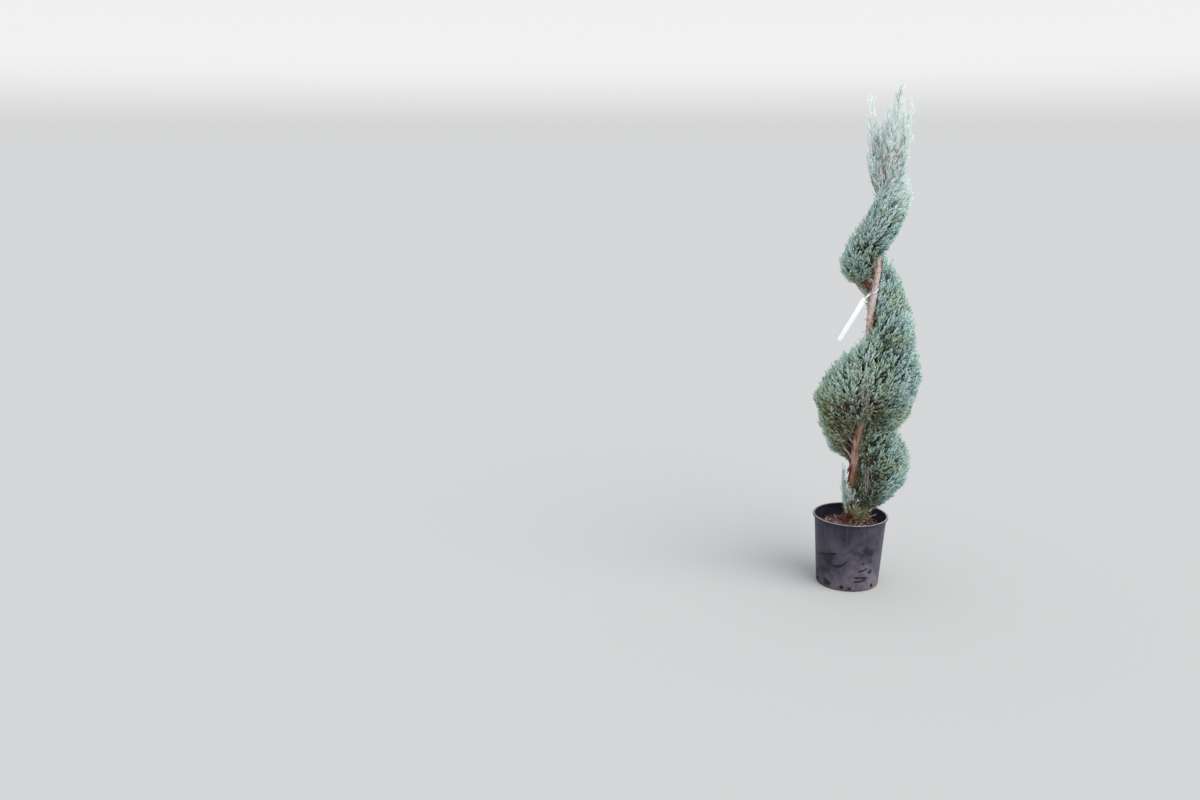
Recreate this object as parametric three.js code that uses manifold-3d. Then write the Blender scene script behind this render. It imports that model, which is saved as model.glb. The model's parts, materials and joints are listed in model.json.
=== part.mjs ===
// A spiral-trimmed juniper in a round nursery pot, in millimetres, +Z up.
// The origin is the centre of the pot's underside. -Y is the front, the side from which the
// bare trunk shows in two gaps. The foliage is one right-handed spiral band about the trunk,
// cut into wedge-shaped masses, with an open tuft of upright plumes at the top.
import * as THREE from 'three';
import { mergeVertices } from 'three/addons/utils/BufferGeometryUtils.js';
import Module from 'manifold-3d';

const wasm = await Module();
wasm.setup();

// ---- pot
const POT_HEIGHT = 280;
const POT_RIM_RADIUS = 145; // outside of the rolled rim
const POT_TOP_RADIUS = 138; // outside of the wall, just under the rim
const POT_FOOT_RADIUS = 121;
const POT_WALL = 2.4;
const POT_FLOOR = 4;
const POT_ROUND = 48; // sides
const RIM_HEIGHT = 9;
const DRAIN_HOLES = 6;
const DRAIN_RADIUS = 8;
const DRAIN_HEIGHT = 17;

// ---- potting mix, which fills the pot to a little under the rim
const MIX_TOP = 238;
const MIX_ROUND = 24;

// ---- trunk: centre line and radius at named heights
const TRUNK_FOOT = 238.4; // the flat cut, on the mix
const TRUNK_TIP = 1904;
const TRUNK_LINE = [ // height, x, y of the centre line
  [238.4, -12, 46], [310, -4, 41], [390, 4, 33], [515, 6, 20], [580, 12, 14], [665, 26, 8], [850, 31, 0],
  [1015, 31, -2], [1130, 40, 0], [1270, 50, 2], [1450, 47, 2], [1575, 48, 0], [1645, 61, 0], [1750, 76, 0], [1904, 96, 0],
];
const TRUNK_RADIUS_FOOT = 16.5;
const TRUNK_RADIUS_MID = 12.5; // at 1100
const TRUNK_RADIUS_TOP = 2.2;
const FLARE = 9; // how much the foot swells
const FLARE_HEIGHT = 55;
const FLARE_LOBES = 4;
const TRUNK_SIDES = 12;

// ---- spiral band: turn 0 faces the front, and each whole turn comes round to the front again
// at each station: turn, reach from the trunk, height of the under side, of the furthest reach and of the
// upper side, and how full the under side and the upper side are towards the reach
const STATIONS = [
  { turn: 0.070, reach: 118, low: 318, nose: 430, high: 590, full: 2.6, crown: 2.3 },
  { turn: 0.125, reach: 172, low: 300, nose: 448, high: 660, full: 2.6, crown: 2.3 },
  { turn: 0.250, reach: 206, low: 300, nose: 468, high: 686, full: 2.8, crown: 2.3 },
  { turn: 0.375, reach: 202, low: 368, nose: 540, high: 735, full: 2.8, crown: 2.3 },
  { turn: 0.500, reach: 198, low: 430, nose: 610, high: 780, full: 2.6, crown: 2.3 },
  { turn: 0.625, reach: 192, low: 470, nose: 690, high: 860, full: 2.5, crown: 2.3 },
  { turn: 0.750, reach: 184, low: 500, nose: 752, high: 930, full: 2.5, crown: 2.3 },
  { turn: 0.875, reach: 186, low: 585, nose: 800, high: 975, full: 2.6, crown: 2.3 },
  { turn: 1.000, reach: 194, low: 660, nose: 850, high: 1010, full: 2.8, crown: 2.3 },
  { turn: 1.125, reach: 196, low: 640, nose: 850, high: 1075, full: 3.5, crown: 2.6 },
  { turn: 1.250, reach: 198, low: 605, nose: 850, high: 1160, full: 6.0, crown: 3.2 },
  { turn: 1.350, reach: 190, low: 640, nose: 940, high: 1235, full: 5.0, crown: 3.8 },
  { turn: 1.440, reach: 180, low: 820, nose: 1060, high: 1290, full: 3.0, crown: 3.4 },
  { turn: 1.520, reach: 164, low: 1080, nose: 1165, high: 1325, full: 2.4, crown: 2.8 },
  { turn: 1.620, reach: 148, low: 1172, nose: 1225, high: 1380, full: 2.4, crown: 2.3 },
  { turn: 1.750, reach: 136, low: 1186, nose: 1270, high: 1420, full: 3.5, crown: 2.3 },
  { turn: 1.875, reach: 126, low: 1212, nose: 1330, high: 1480, full: 2.8, crown: 2.3 },
  { turn: 2.000, reach: 116, low: 1265, nose: 1400, high: 1545, full: 2.6, crown: 2.3 },
  { turn: 2.125, reach: 106, low: 1300, nose: 1460, high: 1610, full: 2.6, crown: 2.3 },
  { turn: 2.250, reach: 98, low: 1345, nose: 1520, high: 1670, full: 2.6, crown: 2.3 },
  { turn: 2.400, reach: 90, low: 1440, nose: 1590, high: 1720, full: 2.6, crown: 2.3 },
];
const STEEP = 90; // how far the band rises while it turns by one radian
const BLUNT = 9; // half height of the face at the furthest reach
const WEDGES = [ // name, first and last turn
  ['foliage_low_right', 0.07, 0.30], ['foliage_low_back', 0.30, 0.54], ['foliage_low_left', 0.54, 0.80],
  ['foliage_mid_front', 0.80, 1.05], ['foliage_mid_right', 1.05, 1.30], ['foliage_mid_back', 1.30, 1.54],
  ['foliage_high_left', 1.54, 1.80], ['foliage_high_front', 1.80, 2.06], ['foliage_high_right', 2.06, 2.40],
];
const WEDGE_STEPS = 8;
const SECTION_SIDE = 6; // points on the upper side and on the under side of a section
const FOLIAGE_FLOOR = 262; // no foliage hangs lower
const CLUMP = 62; // size of the lumps on the clipped surface
const CLUMP_DEPTH = 9;
const UNDERCUT = 0.6; // how much of the under side is bare limb close to the trunk
const UNDERCUT_REACH = 75;
const GAP = 0.4; // between touching pieces
const ROOM = 2; // round a mass, where a bough or plume meets it
const TURN_GAP = 3; // between one turn of the spiral and the next

// ---- open tuft at the top: upright plumes, each from its foot to its tip
const PLUMES = [
  { name: 'plume_left', foot: [46, -2, 1540], tip: [-4, 6, 1862], width: 46, depth: 50 },
  { name: 'plume_right', foot: [84, -8, 1560], tip: [136, -4, 1866], width: 44, depth: 50 },
  { name: 'plume_back', foot: [62, 34, 1590], tip: [58, 44, 1852], width: 44, depth: 40 },
  { name: 'plume_front', foot: [62, -30, 1560], tip: [84, -40, 1836], width: 40, depth: 40 },
  { name: 'plume_leader', foot: [66, 0, 1660], tip: [96, 0, 1904], width: 34, depth: 36 },
];
const PLUME_SIDES = 8;
const PLUME_STEPS = 7;

// ---- low sprigs at the trunk's foot
const SPRIGS = [
  { name: 'foliage_foot', foot: [16, -6, 246], tip: [34, -34, 392], width: 44, depth: 30 },
  { name: 'foliage_sprig', foot: [-22, -2, 262], tip: [-34, -14, 452], width: 20, depth: 18 },
];

// ---- boughs: height where each leaves the trunk, turn it points to, reach and rise of its far end, thickness
const BOUGHS = [
  { name: 'bough_low_right', leaves: 288, turn: 0.19, reach: 120, rise: 125, thick: 6.5 },
  { name: 'bough_low_back', leaves: 334, turn: 0.42, reach: 115, rise: 130, thick: 7.5 },
  { name: 'bough_low_left_back', leaves: 430, turn: 0.53, reach: 115, rise: 125, thick: 7 },
  { name: 'bough_low_left_under', leaves: 508, turn: 0.74, reach: 104, rise: 108, thick: 4.6 },
  { name: 'bough_low_left_over', leaves: 560, turn: 0.79, reach: 70, rise: 78, thick: 4.2 },
  { name: 'bough_mid_front', leaves: 628, turn: 0.95, reach: 90, rise: 120, thick: 6.5 },
  { name: 'bough_mid_back', leaves: 806, turn: 1.45, reach: 110, rise: 190, thick: 7 },
  { name: 'bough_high_back', leaves: 1064, turn: 1.54, reach: 90, rise: 190, thick: 6 },
  { name: 'bough_high_left', leaves: 1128, turn: 1.73, reach: 90, rise: 92, thick: 4 },
  { name: 'bough_high_front', leaves: 1222, turn: 1.95, reach: 62, rise: 105, thick: 5 },
  { name: 'bough_high_right', leaves: 1306, turn: 2.22, reach: 62, rise: 120, thick: 4.6 },
  { name: 'bough_top_back', leaves: 1452, turn: 2.50, reach: 46, rise: 165, thick: 4 },
  { name: 'bough_top_left', leaves: 1486, turn: 2.74, reach: 46, rise: 130, thick: 3.8 },
];
const BOUGH_SIDES = 8;
const BOUGH_STEPS = 5;

// ---- blank tie-on tag
const TAG = { width: 19, length: 182, thick: 0.6, tieHeight: 1166, top: [8, -40, 1142], bottom: [-77, -52, 982], strand: 2.6 };

// ---------------------------------------------------------------- small tools
const TAU = Math.PI * 2;
const mix = (a, b, t) => a + (b - a) * t;
const smooth = (t) => t * t * (3 - 2 * t);

// value noise with a fixed hash, from -1 to 1
function hash(i, j, k) {
  const s = Math.sin(i * 127.1 + j * 311.7 + k * 74.7) * 43758.5453;
  return (s - Math.floor(s)) * 2 - 1;
}
function noise(x, y, z) {
  const i = Math.floor(x), j = Math.floor(y), k = Math.floor(z);
  const a = smooth(x - i), b = smooth(y - j), c = smooth(z - k);
  let sum = 0;
  for (let p = 0; p < 2; p++) for (let q = 0; q < 2; q++) for (let r = 0; r < 2; r++) {
    sum += hash(i + p, j + q, k + r) * (p ? a : 1 - a) * (q ? b : 1 - b) * (r ? c : 1 - c);
  }
  return sum;
}

// smooth interpolation in a table of rows whose first value rises
function lookup(rows, key, keyOf, valueOf) {
  const n = rows.length;
  if (key <= keyOf(rows[0])) return valueOf(rows[0]);
  if (key >= keyOf(rows[n - 1])) return valueOf(rows[n - 1]);
  let i = 0;
  while (key > keyOf(rows[i + 1])) i++;
  const at = (k) => rows[Math.min(Math.max(k, 0), n - 1)];
  const x0 = keyOf(at(i)), x1 = keyOf(at(i + 1)), t = (key - x0) / (x1 - x0);
  const y0 = valueOf(at(i)), y1 = valueOf(at(i + 1));
  const slope = (k) => {
    const a = at(k - 1), b = at(k + 1);
    return (valueOf(b) - valueOf(a)) / Math.max(keyOf(b) - keyOf(a), 1e-9);
  };
  const m0 = slope(i) * (x1 - x0), m1 = slope(i + 1) * (x1 - x0);
  const t2 = t * t, t3 = t2 * t;
  return (2 * t3 - 3 * t2 + 1) * y0 + (t3 - 2 * t2 + t) * m0 + (-2 * t3 + 3 * t2) * y1 + (t3 - t2) * m1;
}

const trunkX = (z) => lookup(TRUNK_LINE, z, (r) => r[0], (r) => r[1]);
const trunkY = (z) => lookup(TRUNK_LINE, z, (r) => r[0], (r) => r[2]);
function trunkRadius(z) {
  const t = (z - TRUNK_FOOT) / (1100 - TRUNK_FOOT);
  if (t <= 1) return mix(TRUNK_RADIUS_FOOT, TRUNK_RADIUS_MID, t);
  return mix(TRUNK_RADIUS_MID, TRUNK_RADIUS_TOP, Math.min((z - 1100) / (TRUNK_TIP - 1100), 1));
}
const station = (turn, what) => lookup(STATIONS, turn, (s) => s.turn, (s) => s[what]);
const bearing = (turn) => -Math.PI / 2 + TAU * turn;

// a closed solid from rings of equal point counts, each ring counter-clockwise seen from the last ring's side
function loft(rings) {
  const n = rings[0].length, pos = [], index = [];
  for (const ring of rings) for (const p of ring) pos.push(...p);
  for (let i = 0; i + 1 < rings.length; i++) {
    for (let j = 0; j < n; j++) {
      const a = i * n + j, b = i * n + (j + 1) % n, c = a + n, d = b + n;
      index.push(a, b, d, a, d, c);
    }
  }
  const cap = (ring, first, flip) => {
    const flat = ring.map((p) => new THREE.Vector3(...p));
    const mid = flat.reduce((s, p) => s.add(p), new THREE.Vector3()).divideScalar(n);
    pos.push(mid.x, mid.y, mid.z);
    const m = pos.length / 3 - 1;
    for (let j = 0; j < n; j++) {
      const a = first + j, b = first + (j + 1) % n;
      if (flip) index.push(b, a, m); else index.push(a, b, m);
    }
  };
  cap(rings[0], 0, true);
  cap(rings[rings.length - 1], (rings.length - 1) * n, false);
  const g = new THREE.BufferGeometry();
  g.setAttribute('position', new THREE.Float32BufferAttribute(pos, 3));
  g.setIndex(index);
  return g;
}

function solid(geometry) {
  let g = geometry.index ? geometry.clone() : geometry.clone();
  g.deleteAttribute('normal');
  g.deleteAttribute('uv');
  g = mergeVertices(g, 1e-4);
  const mesh = new wasm.Mesh({
    numProp: 3,
    vertProperties: new Float32Array(g.attributes.position.array),
    triVerts: new Uint32Array(g.index.array),
  });
  const made = new wasm.Manifold(mesh);
  return made;
}
// what is left of a body after a cut, without the loose crumbs
function largest(manifold) {
  return manifold.decompose().reduce((a, b) => (b.volume() > a.volume() ? b : a));
}
function geometryOf(manifold) {
  const m = largest(manifold).getMesh();
  const pos = new Float32Array(m.numVert * 3);
  for (let i = 0; i < m.numVert; i++) for (let k = 0; k < 3; k++) pos[3 * i + k] = m.vertProperties[i * m.numProp + k];
  const g = new THREE.BufferGeometry();
  g.setAttribute('position', new THREE.BufferAttribute(pos, 3));
  g.setIndex(new THREE.BufferAttribute(new Uint32Array(m.triVerts), 1));
  g.computeVertexNormals();
  return g;
}

// ---------------------------------------------------------------- trunk
function trunkSolid(grow) {
  const rings = [];
  const heights = [];
  for (let i = 0; i <= 6; i++) heights.push(mix(TRUNK_FOOT, TRUNK_FOOT + FLARE_HEIGHT, (i / 6) ** 1.3));
  for (let z = 350; z < TRUNK_TIP - 60; z += 98) heights.push(z);
  heights.push(TRUNK_TIP - 30, TRUNK_TIP);
  if (grow > 0) { heights[0] -= grow; heights[heights.length - 1] += grow; }
  for (const z of heights) {
    const flare = FLARE * Math.max(0, 1 - (z - TRUNK_FOOT) / FLARE_HEIGHT) ** 2;
    const ring = [];
    for (let j = 0; j < TRUNK_SIDES; j++) {
      const a = TAU * j / TRUNK_SIDES;
      const lobe = 1 + 0.35 * Math.cos(FLARE_LOBES * a + 0.7);
      const flutes = 0.05 * trunkRadius(z) * Math.cos(3 * a + z / 90);
      const r = trunkRadius(z) + flare * lobe + flutes + grow;
      ring.push([trunkX(z) + r * Math.cos(a), trunkY(z) + r * Math.sin(a), z]);
    }
    rings.push(ring);
  }
  return solid(loft(rings));
}

// ---------------------------------------------------------------- spiral band
// one section of the band, from the inner top corner out along the top, round the nose and back under
function sectionPoints(turn, grow) {
  const reach = station(turn, 'reach'), nose = station(turn, 'nose');
  const full = station(turn, 'full'), crown = station(turn, 'crown');
  const up = station(turn, 'high') - nose, down = nose - station(turn, 'low');
  const a = bearing(turn), inner = 0.45 * trunkRadius(nose);
  const points = [];
  const put = (r, h, out, rise) => {
    const x = Math.cos(a) * r, y = Math.sin(a) * r, z = nose + h;
    const lump = r > inner + 1 ? CLUMP_DEPTH * noise(x / CLUMP + 5, y / CLUMP + 9, z / CLUMP) * smooth(Math.min(1, r / 90)) : 0;
    const lumpy = Math.max(z + (h > 0 ? 0.7 : -0.7) * lump, FOLIAGE_FLOOR + 0.12 * r);
    // close to the trunk the band is steep along its turn, so an even clearance there is a tall one
    points.push([r + lump + out * grow, lumpy + rise * grow * Math.hypot(1, STEEP / Math.max(r, 10))]);
  };
  for (let i = 0; i < SECTION_SIDE; i++) {
    const s = Math.sin((i / SECTION_SIDE) * Math.PI / 2) * 0.97;
    put(mix(inner, reach, s), (up - BLUNT) * (1 - s ** crown) + BLUNT, s, 1);
  }
  put(reach, 0, 1, 0);
  for (let i = SECTION_SIDE - 1; i >= 0; i--) {
    const s = Math.sin((i / SECTION_SIDE) * Math.PI / 2) * 0.97;
    const hollow = UNDERCUT * Math.max(0, 1 - (s * reach) / UNDERCUT_REACH) ** 1.5;
    put(mix(inner, reach, s), -(down - BLUNT) * (1 - s ** full) * (1 - hollow) - BLUNT, hollow > 0 ? 0 : s, -1);
  }
  return points;
}
function wedgeSolid(first, last, grow) {
  const rings = [];
  for (let i = 0; i <= WEDGE_STEPS; i++) {
    const turn = mix(first, last, i / WEDGE_STEPS), a = bearing(turn);
    const side = i === 0 ? GAP / 2 - grow : i === WEDGE_STEPS ? -GAP / 2 + grow : 0;
    const ring = sectionPoints(turn, grow).map(([r, z]) => [
      trunkX(z) + Math.cos(a) * r - Math.sin(a) * side,
      trunkY(z) + Math.sin(a) * r + Math.cos(a) * side,
      z,
    ]);
    rings.push(ring);
  }
  return solid(loft(rings));
}

// ---------------------------------------------------------------- plumes and sprig: upright spindles
function spindle({ foot, tip, width, depth }, grow) {
  const rings = [];
  for (let i = 0; i <= PLUME_STEPS; i++) {
    const t = i / PLUME_STEPS;
    const fat = Math.max(0.06, Math.sin(Math.PI * Math.min(1, 0.16 + 0.84 * t)) ** 0.75 * (1 - 0.35 * t));
    const z = mix(foot[2], tip[2], t) + (i === 0 ? -grow : i === PLUME_STEPS ? grow : 0);
    const x = mix(foot[0], tip[0], t), y = mix(foot[1], tip[1], t);
    const ring = [];
    for (let j = 0; j < PLUME_SIDES; j++) {
      const a = TAU * j / PLUME_SIDES;
      const lump = 1 + 0.13 * noise(Math.cos(a) * 1.7 + x / 30, Math.sin(a) * 1.7 + y / 30, z / 45);
      ring.push([
        x + (width * fat * lump + grow) * Math.cos(a),
        y + (depth * fat * lump + grow) * Math.sin(a),
        z,
      ]);
    }
    rings.push(ring);
  }
  return solid(loft(rings));
}

// ---------------------------------------------------------------- boughs: one tapering limb each, curving upwards
function boughSolid(b) {
  const a = bearing(b.turn);
  const at = (t) => {
    const r = b.reach * t, z = b.leaves + b.rise * (0.62 * t + 0.38 * t * t);
    return new THREE.Vector3(
      trunkX(b.leaves) + Math.cos(a) * r, trunkY(b.leaves) + Math.sin(a) * r, z);
  };
  const rings = [];
  for (let i = 0; i <= BOUGH_STEPS; i++) {
    const t = i / BOUGH_STEPS;
    const p = at(t), dir = at(t + 0.01).sub(at(t - 0.01)).normalize();
    const side = new THREE.Vector3(-Math.sin(a), Math.cos(a), 0);
    const over = new THREE.Vector3().crossVectors(dir, side).normalize();
    const r = b.thick * mix(1.15, 0.5, Math.sqrt(t));
    const ring = [];
    for (let j = 0; j < BOUGH_SIDES; j++) {
      const q = TAU * j / BOUGH_SIDES;
      ring.push(p.clone().addScaledVector(side, r * Math.cos(q)).addScaledVector(over, r * Math.sin(q)).toArray());
    }
    rings.push(ring);
  }
  return solid(loft(rings));
}

// ---------------------------------------------------------------- pot and mix
function potSolid() {
  const slope = (z) => mix(POT_FOOT_RADIUS, POT_TOP_RADIUS, z / (POT_HEIGHT - RIM_HEIGHT));
  const top = POT_HEIGHT, under = POT_HEIGHT - RIM_HEIGHT;
  const profile = [
    [0, 0], [POT_FOOT_RADIUS - 6, 0], [POT_FOOT_RADIUS - 1.5, 1.8], [slope(6), 6],
    [slope(under), under],
    [POT_RIM_RADIUS - 1.6, under + 0.6], [POT_RIM_RADIUS, under + 3.2], [POT_RIM_RADIUS, top - 3],
    [POT_RIM_RADIUS - 2.4, top - 0.5], [POT_RIM_RADIUS - 5.5, top],
    [POT_TOP_RADIUS - POT_WALL, top - 3.5],
    [slope(POT_FLOOR + 8) - POT_WALL, POT_FLOOR + 8], [POT_FOOT_RADIUS - POT_WALL - 6, POT_FLOOR], [0, POT_FLOOR],
  ].map(([r, z]) => new THREE.Vector2(r, z));
  const lathe = new THREE.LatheGeometry(profile, POT_ROUND);
  lathe.rotateX(Math.PI / 2);
  let pot = solid(lathe);
  for (let i = 0; i < DRAIN_HOLES; i++) {
    const a = TAU * (i + 0.35) / DRAIN_HOLES;
    const hole = new THREE.CylinderGeometry(DRAIN_RADIUS, DRAIN_RADIUS, 40, 8);
    hole.rotateZ(Math.PI / 2);
    hole.rotateZ(a);
    hole.translate(Math.cos(a) * POT_FOOT_RADIUS, Math.sin(a) * POT_FOOT_RADIUS, DRAIN_HEIGHT);
    pot = pot.subtract(solid(hole));
  }
  return pot;
}
function mixSolid() {
  const inside = (z) => mix(POT_FOOT_RADIUS, POT_TOP_RADIUS, z / (POT_HEIGHT - RIM_HEIGHT)) - POT_WALL - 0.5;
  const profile = [
    [0, POT_FLOOR + 0.4], [POT_FOOT_RADIUS - POT_WALL - 7, POT_FLOOR + 0.4], [inside(POT_FLOOR + 9) , POT_FLOOR + 9],
    [inside(MIX_TOP - 7), MIX_TOP - 7],
    [100, MIX_TOP - 3], [78, MIX_TOP], [0, MIX_TOP],
  ].map(([r, z]) => new THREE.Vector2(r, z));
  const lathe = new THREE.LatheGeometry(profile, MIX_ROUND);
  lathe.rotateX(Math.PI / 2);
  // the sides of the coarser lathe would cut the pot's wall between its corners if it were turned against it
  return solid(lathe);
}

// ---------------------------------------------------------------- tag: a strip, with its tail looped about the trunk
function tagSolid() {
  const top = new THREE.Vector3(...TAG.top), bottom = new THREE.Vector3(...TAG.bottom);
  const along = bottom.clone().sub(top).normalize();
  const across = new THREE.Vector3(Math.cos(0.35), Math.sin(0.35), 0);
  across.addScaledVector(along, -across.dot(along)).normalize();
  const normal = new THREE.Vector3().crossVectors(along, across);
  const half = TAG.width / 2, L = TAG.length;
  const shape = new THREE.Shape();
  shape.moveTo(-half * 0.45, 0);
  shape.lineTo(half * 0.45, 0);
  shape.lineTo(half, 9);
  shape.lineTo(half, L - 2);
  shape.lineTo(half - 2, L);
  shape.lineTo(-half + 2, L);
  shape.lineTo(-half, L - 2);
  shape.lineTo(-half, 9);
  shape.closePath();
  const strip = new THREE.ExtrudeGeometry(shape, { depth: TAG.thick, bevelEnabled: false });
  strip.applyMatrix4(new THREE.Matrix4().makeBasis(across, along, new THREE.Vector3().crossVectors(across, along)).setPosition(top));
  // the tail leaves the strip, goes round the trunk, and comes back to it
  const z = TAG.tieHeight, cx = trunkX(z), cy = trunkY(z), r = trunkRadius(z) + 3.4;
  const points = [];
  const start = top.clone().addScaledVector(along, 3);
  const turns = 12;
  for (let i = 0; i < turns; i++) {
    const q = TAU * (0.60 + i / turns * 0.86) ;
    points.push(new THREE.Vector3(cx + r * Math.cos(q), cy + r * Math.sin(q), z + 10 * Math.cos(q - 0.6)));
  }
  const loop = new THREE.CatmullRomCurve3([start, ...points, start.clone().addScaledVector(across, 1.2)], false, 'centripetal');
  const w = TAG.strand / 2, band = new THREE.Shape();
  band.moveTo(-w, -0.45); band.lineTo(w, -0.45); band.lineTo(w, 0.45); band.lineTo(-w, 0.45); band.closePath();
  const tail = new THREE.ExtrudeGeometry(band, { steps: 20, extrudePath: loop, bevelEnabled: false });
  return { strip: solid(strip), tail: solid(tail), normal };
}

// ---------------------------------------------------------------- assembly
const looks = {
  pot: new THREE.MeshStandardMaterial({ color: 0x3b3f47, roughness: 0.62, metalness: 0 }),
  mix: new THREE.MeshStandardMaterial({ color: 0x5a3a28, roughness: 1, metalness: 0 }),
  bark: new THREE.MeshStandardMaterial({ color: 0x7a5240, roughness: 0.95, metalness: 0 }),
  foliage: new THREE.MeshStandardMaterial({ color: 0x7f9f98, roughness: 0.9, metalness: 0 }),
  tag: new THREE.MeshStandardMaterial({ color: 0xf2f2f0, roughness: 0.5, metalness: 0 }),
};
const part = new THREE.Group();
function add(name, manifold, look) {
  const mesh = new THREE.Mesh(geometryOf(manifold), looks[look].clone());
  mesh.name = name;
  part.add(mesh);
  return mesh;
}

const trunkRoom = trunkSolid(GAP);
add('pot', potSolid(), 'pot');
add('potting_mix', mixSolid(), 'mix');
add('trunk', trunkSolid(0), 'bark');

// a wedge keeps clear of the trunk and of the turn under it
const rooms = [];
const turnRooms = [];
WEDGES.forEach(([name, first, last], i) => {
  let body = wedgeSolid(first, last, 0).subtract(trunkRoom);
  for (const room of turnRooms.slice(0, Math.max(0, i - 1))) body = body.subtract(room);
  add(name, body, 'foliage');
  turnRooms.push(wedgeSolid(first, last, TURN_GAP));
  rooms.push(wedgeSolid(first, last, ROOM));
});
for (const plume of [...PLUMES, ...SPRIGS]) {
  let body = spindle(plume, 0).subtract(trunkRoom);
  for (const room of rooms) body = body.subtract(room);
  add(plume.name, body, 'foliage');
  rooms.push(spindle(plume, ROOM));
}

for (const b of BOUGHS) {
  let body = boughSolid(b).subtract(trunkRoom);
  for (const room of rooms) body = body.subtract(room);
  add(b.name, body, 'bark');
}

const tag = tagSolid();
let tagBody = tag.strip.add(tag.tail).subtract(trunkRoom);
for (const room of rooms) tagBody = tagBody.subtract(room);
add('tag', tagBody, 'tag');

export default part;
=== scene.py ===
"""A spiral-trimmed juniper in a round nursery pot: the finish of every surface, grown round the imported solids.

Lengths in the growing part are in millimetres and become metres when a mesh is made."""
import json
import math

import bpy
import numpy as np
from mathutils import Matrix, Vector
from mathutils.bvhtree import BVHTree

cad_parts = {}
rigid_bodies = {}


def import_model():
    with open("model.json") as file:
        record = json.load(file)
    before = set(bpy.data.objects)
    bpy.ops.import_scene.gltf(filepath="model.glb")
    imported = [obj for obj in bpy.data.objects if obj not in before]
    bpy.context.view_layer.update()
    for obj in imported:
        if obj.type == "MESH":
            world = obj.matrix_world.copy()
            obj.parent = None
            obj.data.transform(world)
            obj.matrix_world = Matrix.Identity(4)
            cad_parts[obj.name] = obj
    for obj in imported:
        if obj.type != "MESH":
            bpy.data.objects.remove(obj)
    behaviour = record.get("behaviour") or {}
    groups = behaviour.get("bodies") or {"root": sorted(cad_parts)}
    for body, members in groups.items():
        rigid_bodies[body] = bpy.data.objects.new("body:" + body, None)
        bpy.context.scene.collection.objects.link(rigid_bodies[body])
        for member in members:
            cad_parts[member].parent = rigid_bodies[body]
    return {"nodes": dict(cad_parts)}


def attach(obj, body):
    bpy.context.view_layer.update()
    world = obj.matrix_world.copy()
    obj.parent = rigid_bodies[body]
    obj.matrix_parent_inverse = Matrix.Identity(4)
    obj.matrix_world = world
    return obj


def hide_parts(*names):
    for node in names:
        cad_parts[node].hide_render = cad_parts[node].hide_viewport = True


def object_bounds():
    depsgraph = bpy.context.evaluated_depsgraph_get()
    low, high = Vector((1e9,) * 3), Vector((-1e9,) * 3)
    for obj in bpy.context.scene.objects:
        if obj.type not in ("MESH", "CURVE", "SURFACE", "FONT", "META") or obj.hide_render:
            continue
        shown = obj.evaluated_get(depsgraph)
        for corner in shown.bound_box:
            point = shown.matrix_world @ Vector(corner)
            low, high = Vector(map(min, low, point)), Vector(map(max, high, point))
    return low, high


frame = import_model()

CAD_BOX = [[float(v) for v in corner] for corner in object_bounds()]
MM = 0.001
TAU = 2 * math.pi
UP = np.array([0.0, 0.0, 1.0])

# ------------------------------------------------------------------ the camera comes first
CAMERA_AT = (0.0, -4.264, 1.74)
CAMERA_TURN = 13.4  # degrees to the left of +Y
CAMERA_DIP = 13.53  # degrees under the horizon
CAMERA_LENS = 33.24  # mm, on a sensor 36 mm wide

# ------------------------------------------------------------------ the plant's own sizes, in mm
TRUNK_FOOT = 238.4
TRUNK_TIP = 1904.0
TRUNK_LINE = np.array([
    [238.4, -12, 46], [310, -4, 41], [390, 4, 33], [515, 6, 20], [580, 12, 14], [665, 26, 8], [850, 31, 0],
    [1015, 31, -2], [1130, 40, 0], [1270, 50, 2], [1450, 47, 2], [1575, 48, 0], [1645, 61, 0], [1750, 76, 0],
    [1904, 96, 0]], float)
TRUNK_RADIUS_FOOT, TRUNK_RADIUS_MID, TRUNK_RADIUS_TOP = 16.5, 12.5, 2.2
FLARE, FLARE_HEIGHT, FLARE_LOBES = 9.0, 55.0, 4

# turn, reach, under side, furthest reach, upper side, fullness under and over
STATIONS = np.array([
    [0.070, 118, 318, 430, 590, 2.6, 2.3], [0.125, 172, 300, 448, 660, 2.6, 2.3],
    [0.250, 206, 300, 468, 686, 2.8, 2.3], [0.375, 202, 368, 540, 735, 2.8, 2.3],
    [0.500, 198, 430, 610, 780, 2.6, 2.3], [0.625, 192, 470, 690, 860, 2.5, 2.3],
    [0.750, 184, 500, 752, 930, 2.5, 2.3], [0.875, 186, 585, 800, 975, 2.6, 2.3],
    [1.000, 194, 660, 850, 1010, 2.8, 2.3], [1.125, 196, 640, 850, 1075, 3.5, 2.6],
    [1.250, 198, 605, 850, 1160, 6.0, 3.2], [1.350, 190, 640, 940, 1235, 5.0, 3.8],
    [1.440, 180, 820, 1060, 1290, 3.0, 3.4], [1.520, 164, 1080, 1165, 1325, 2.4, 2.8],
    [1.620, 148, 1172, 1225, 1380, 2.4, 2.3], [1.750, 136, 1186, 1270, 1420, 3.5, 2.3],
    [1.875, 126, 1212, 1330, 1480, 2.8, 2.3], [2.000, 116, 1265, 1400, 1545, 2.6, 2.3],
    [2.125, 106, 1300, 1460, 1610, 2.6, 2.3], [2.250, 98, 1345, 1520, 1670, 2.6, 2.3],
    [2.400, 90, 1440, 1590, 1720, 2.6, 2.3]], float)
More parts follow.
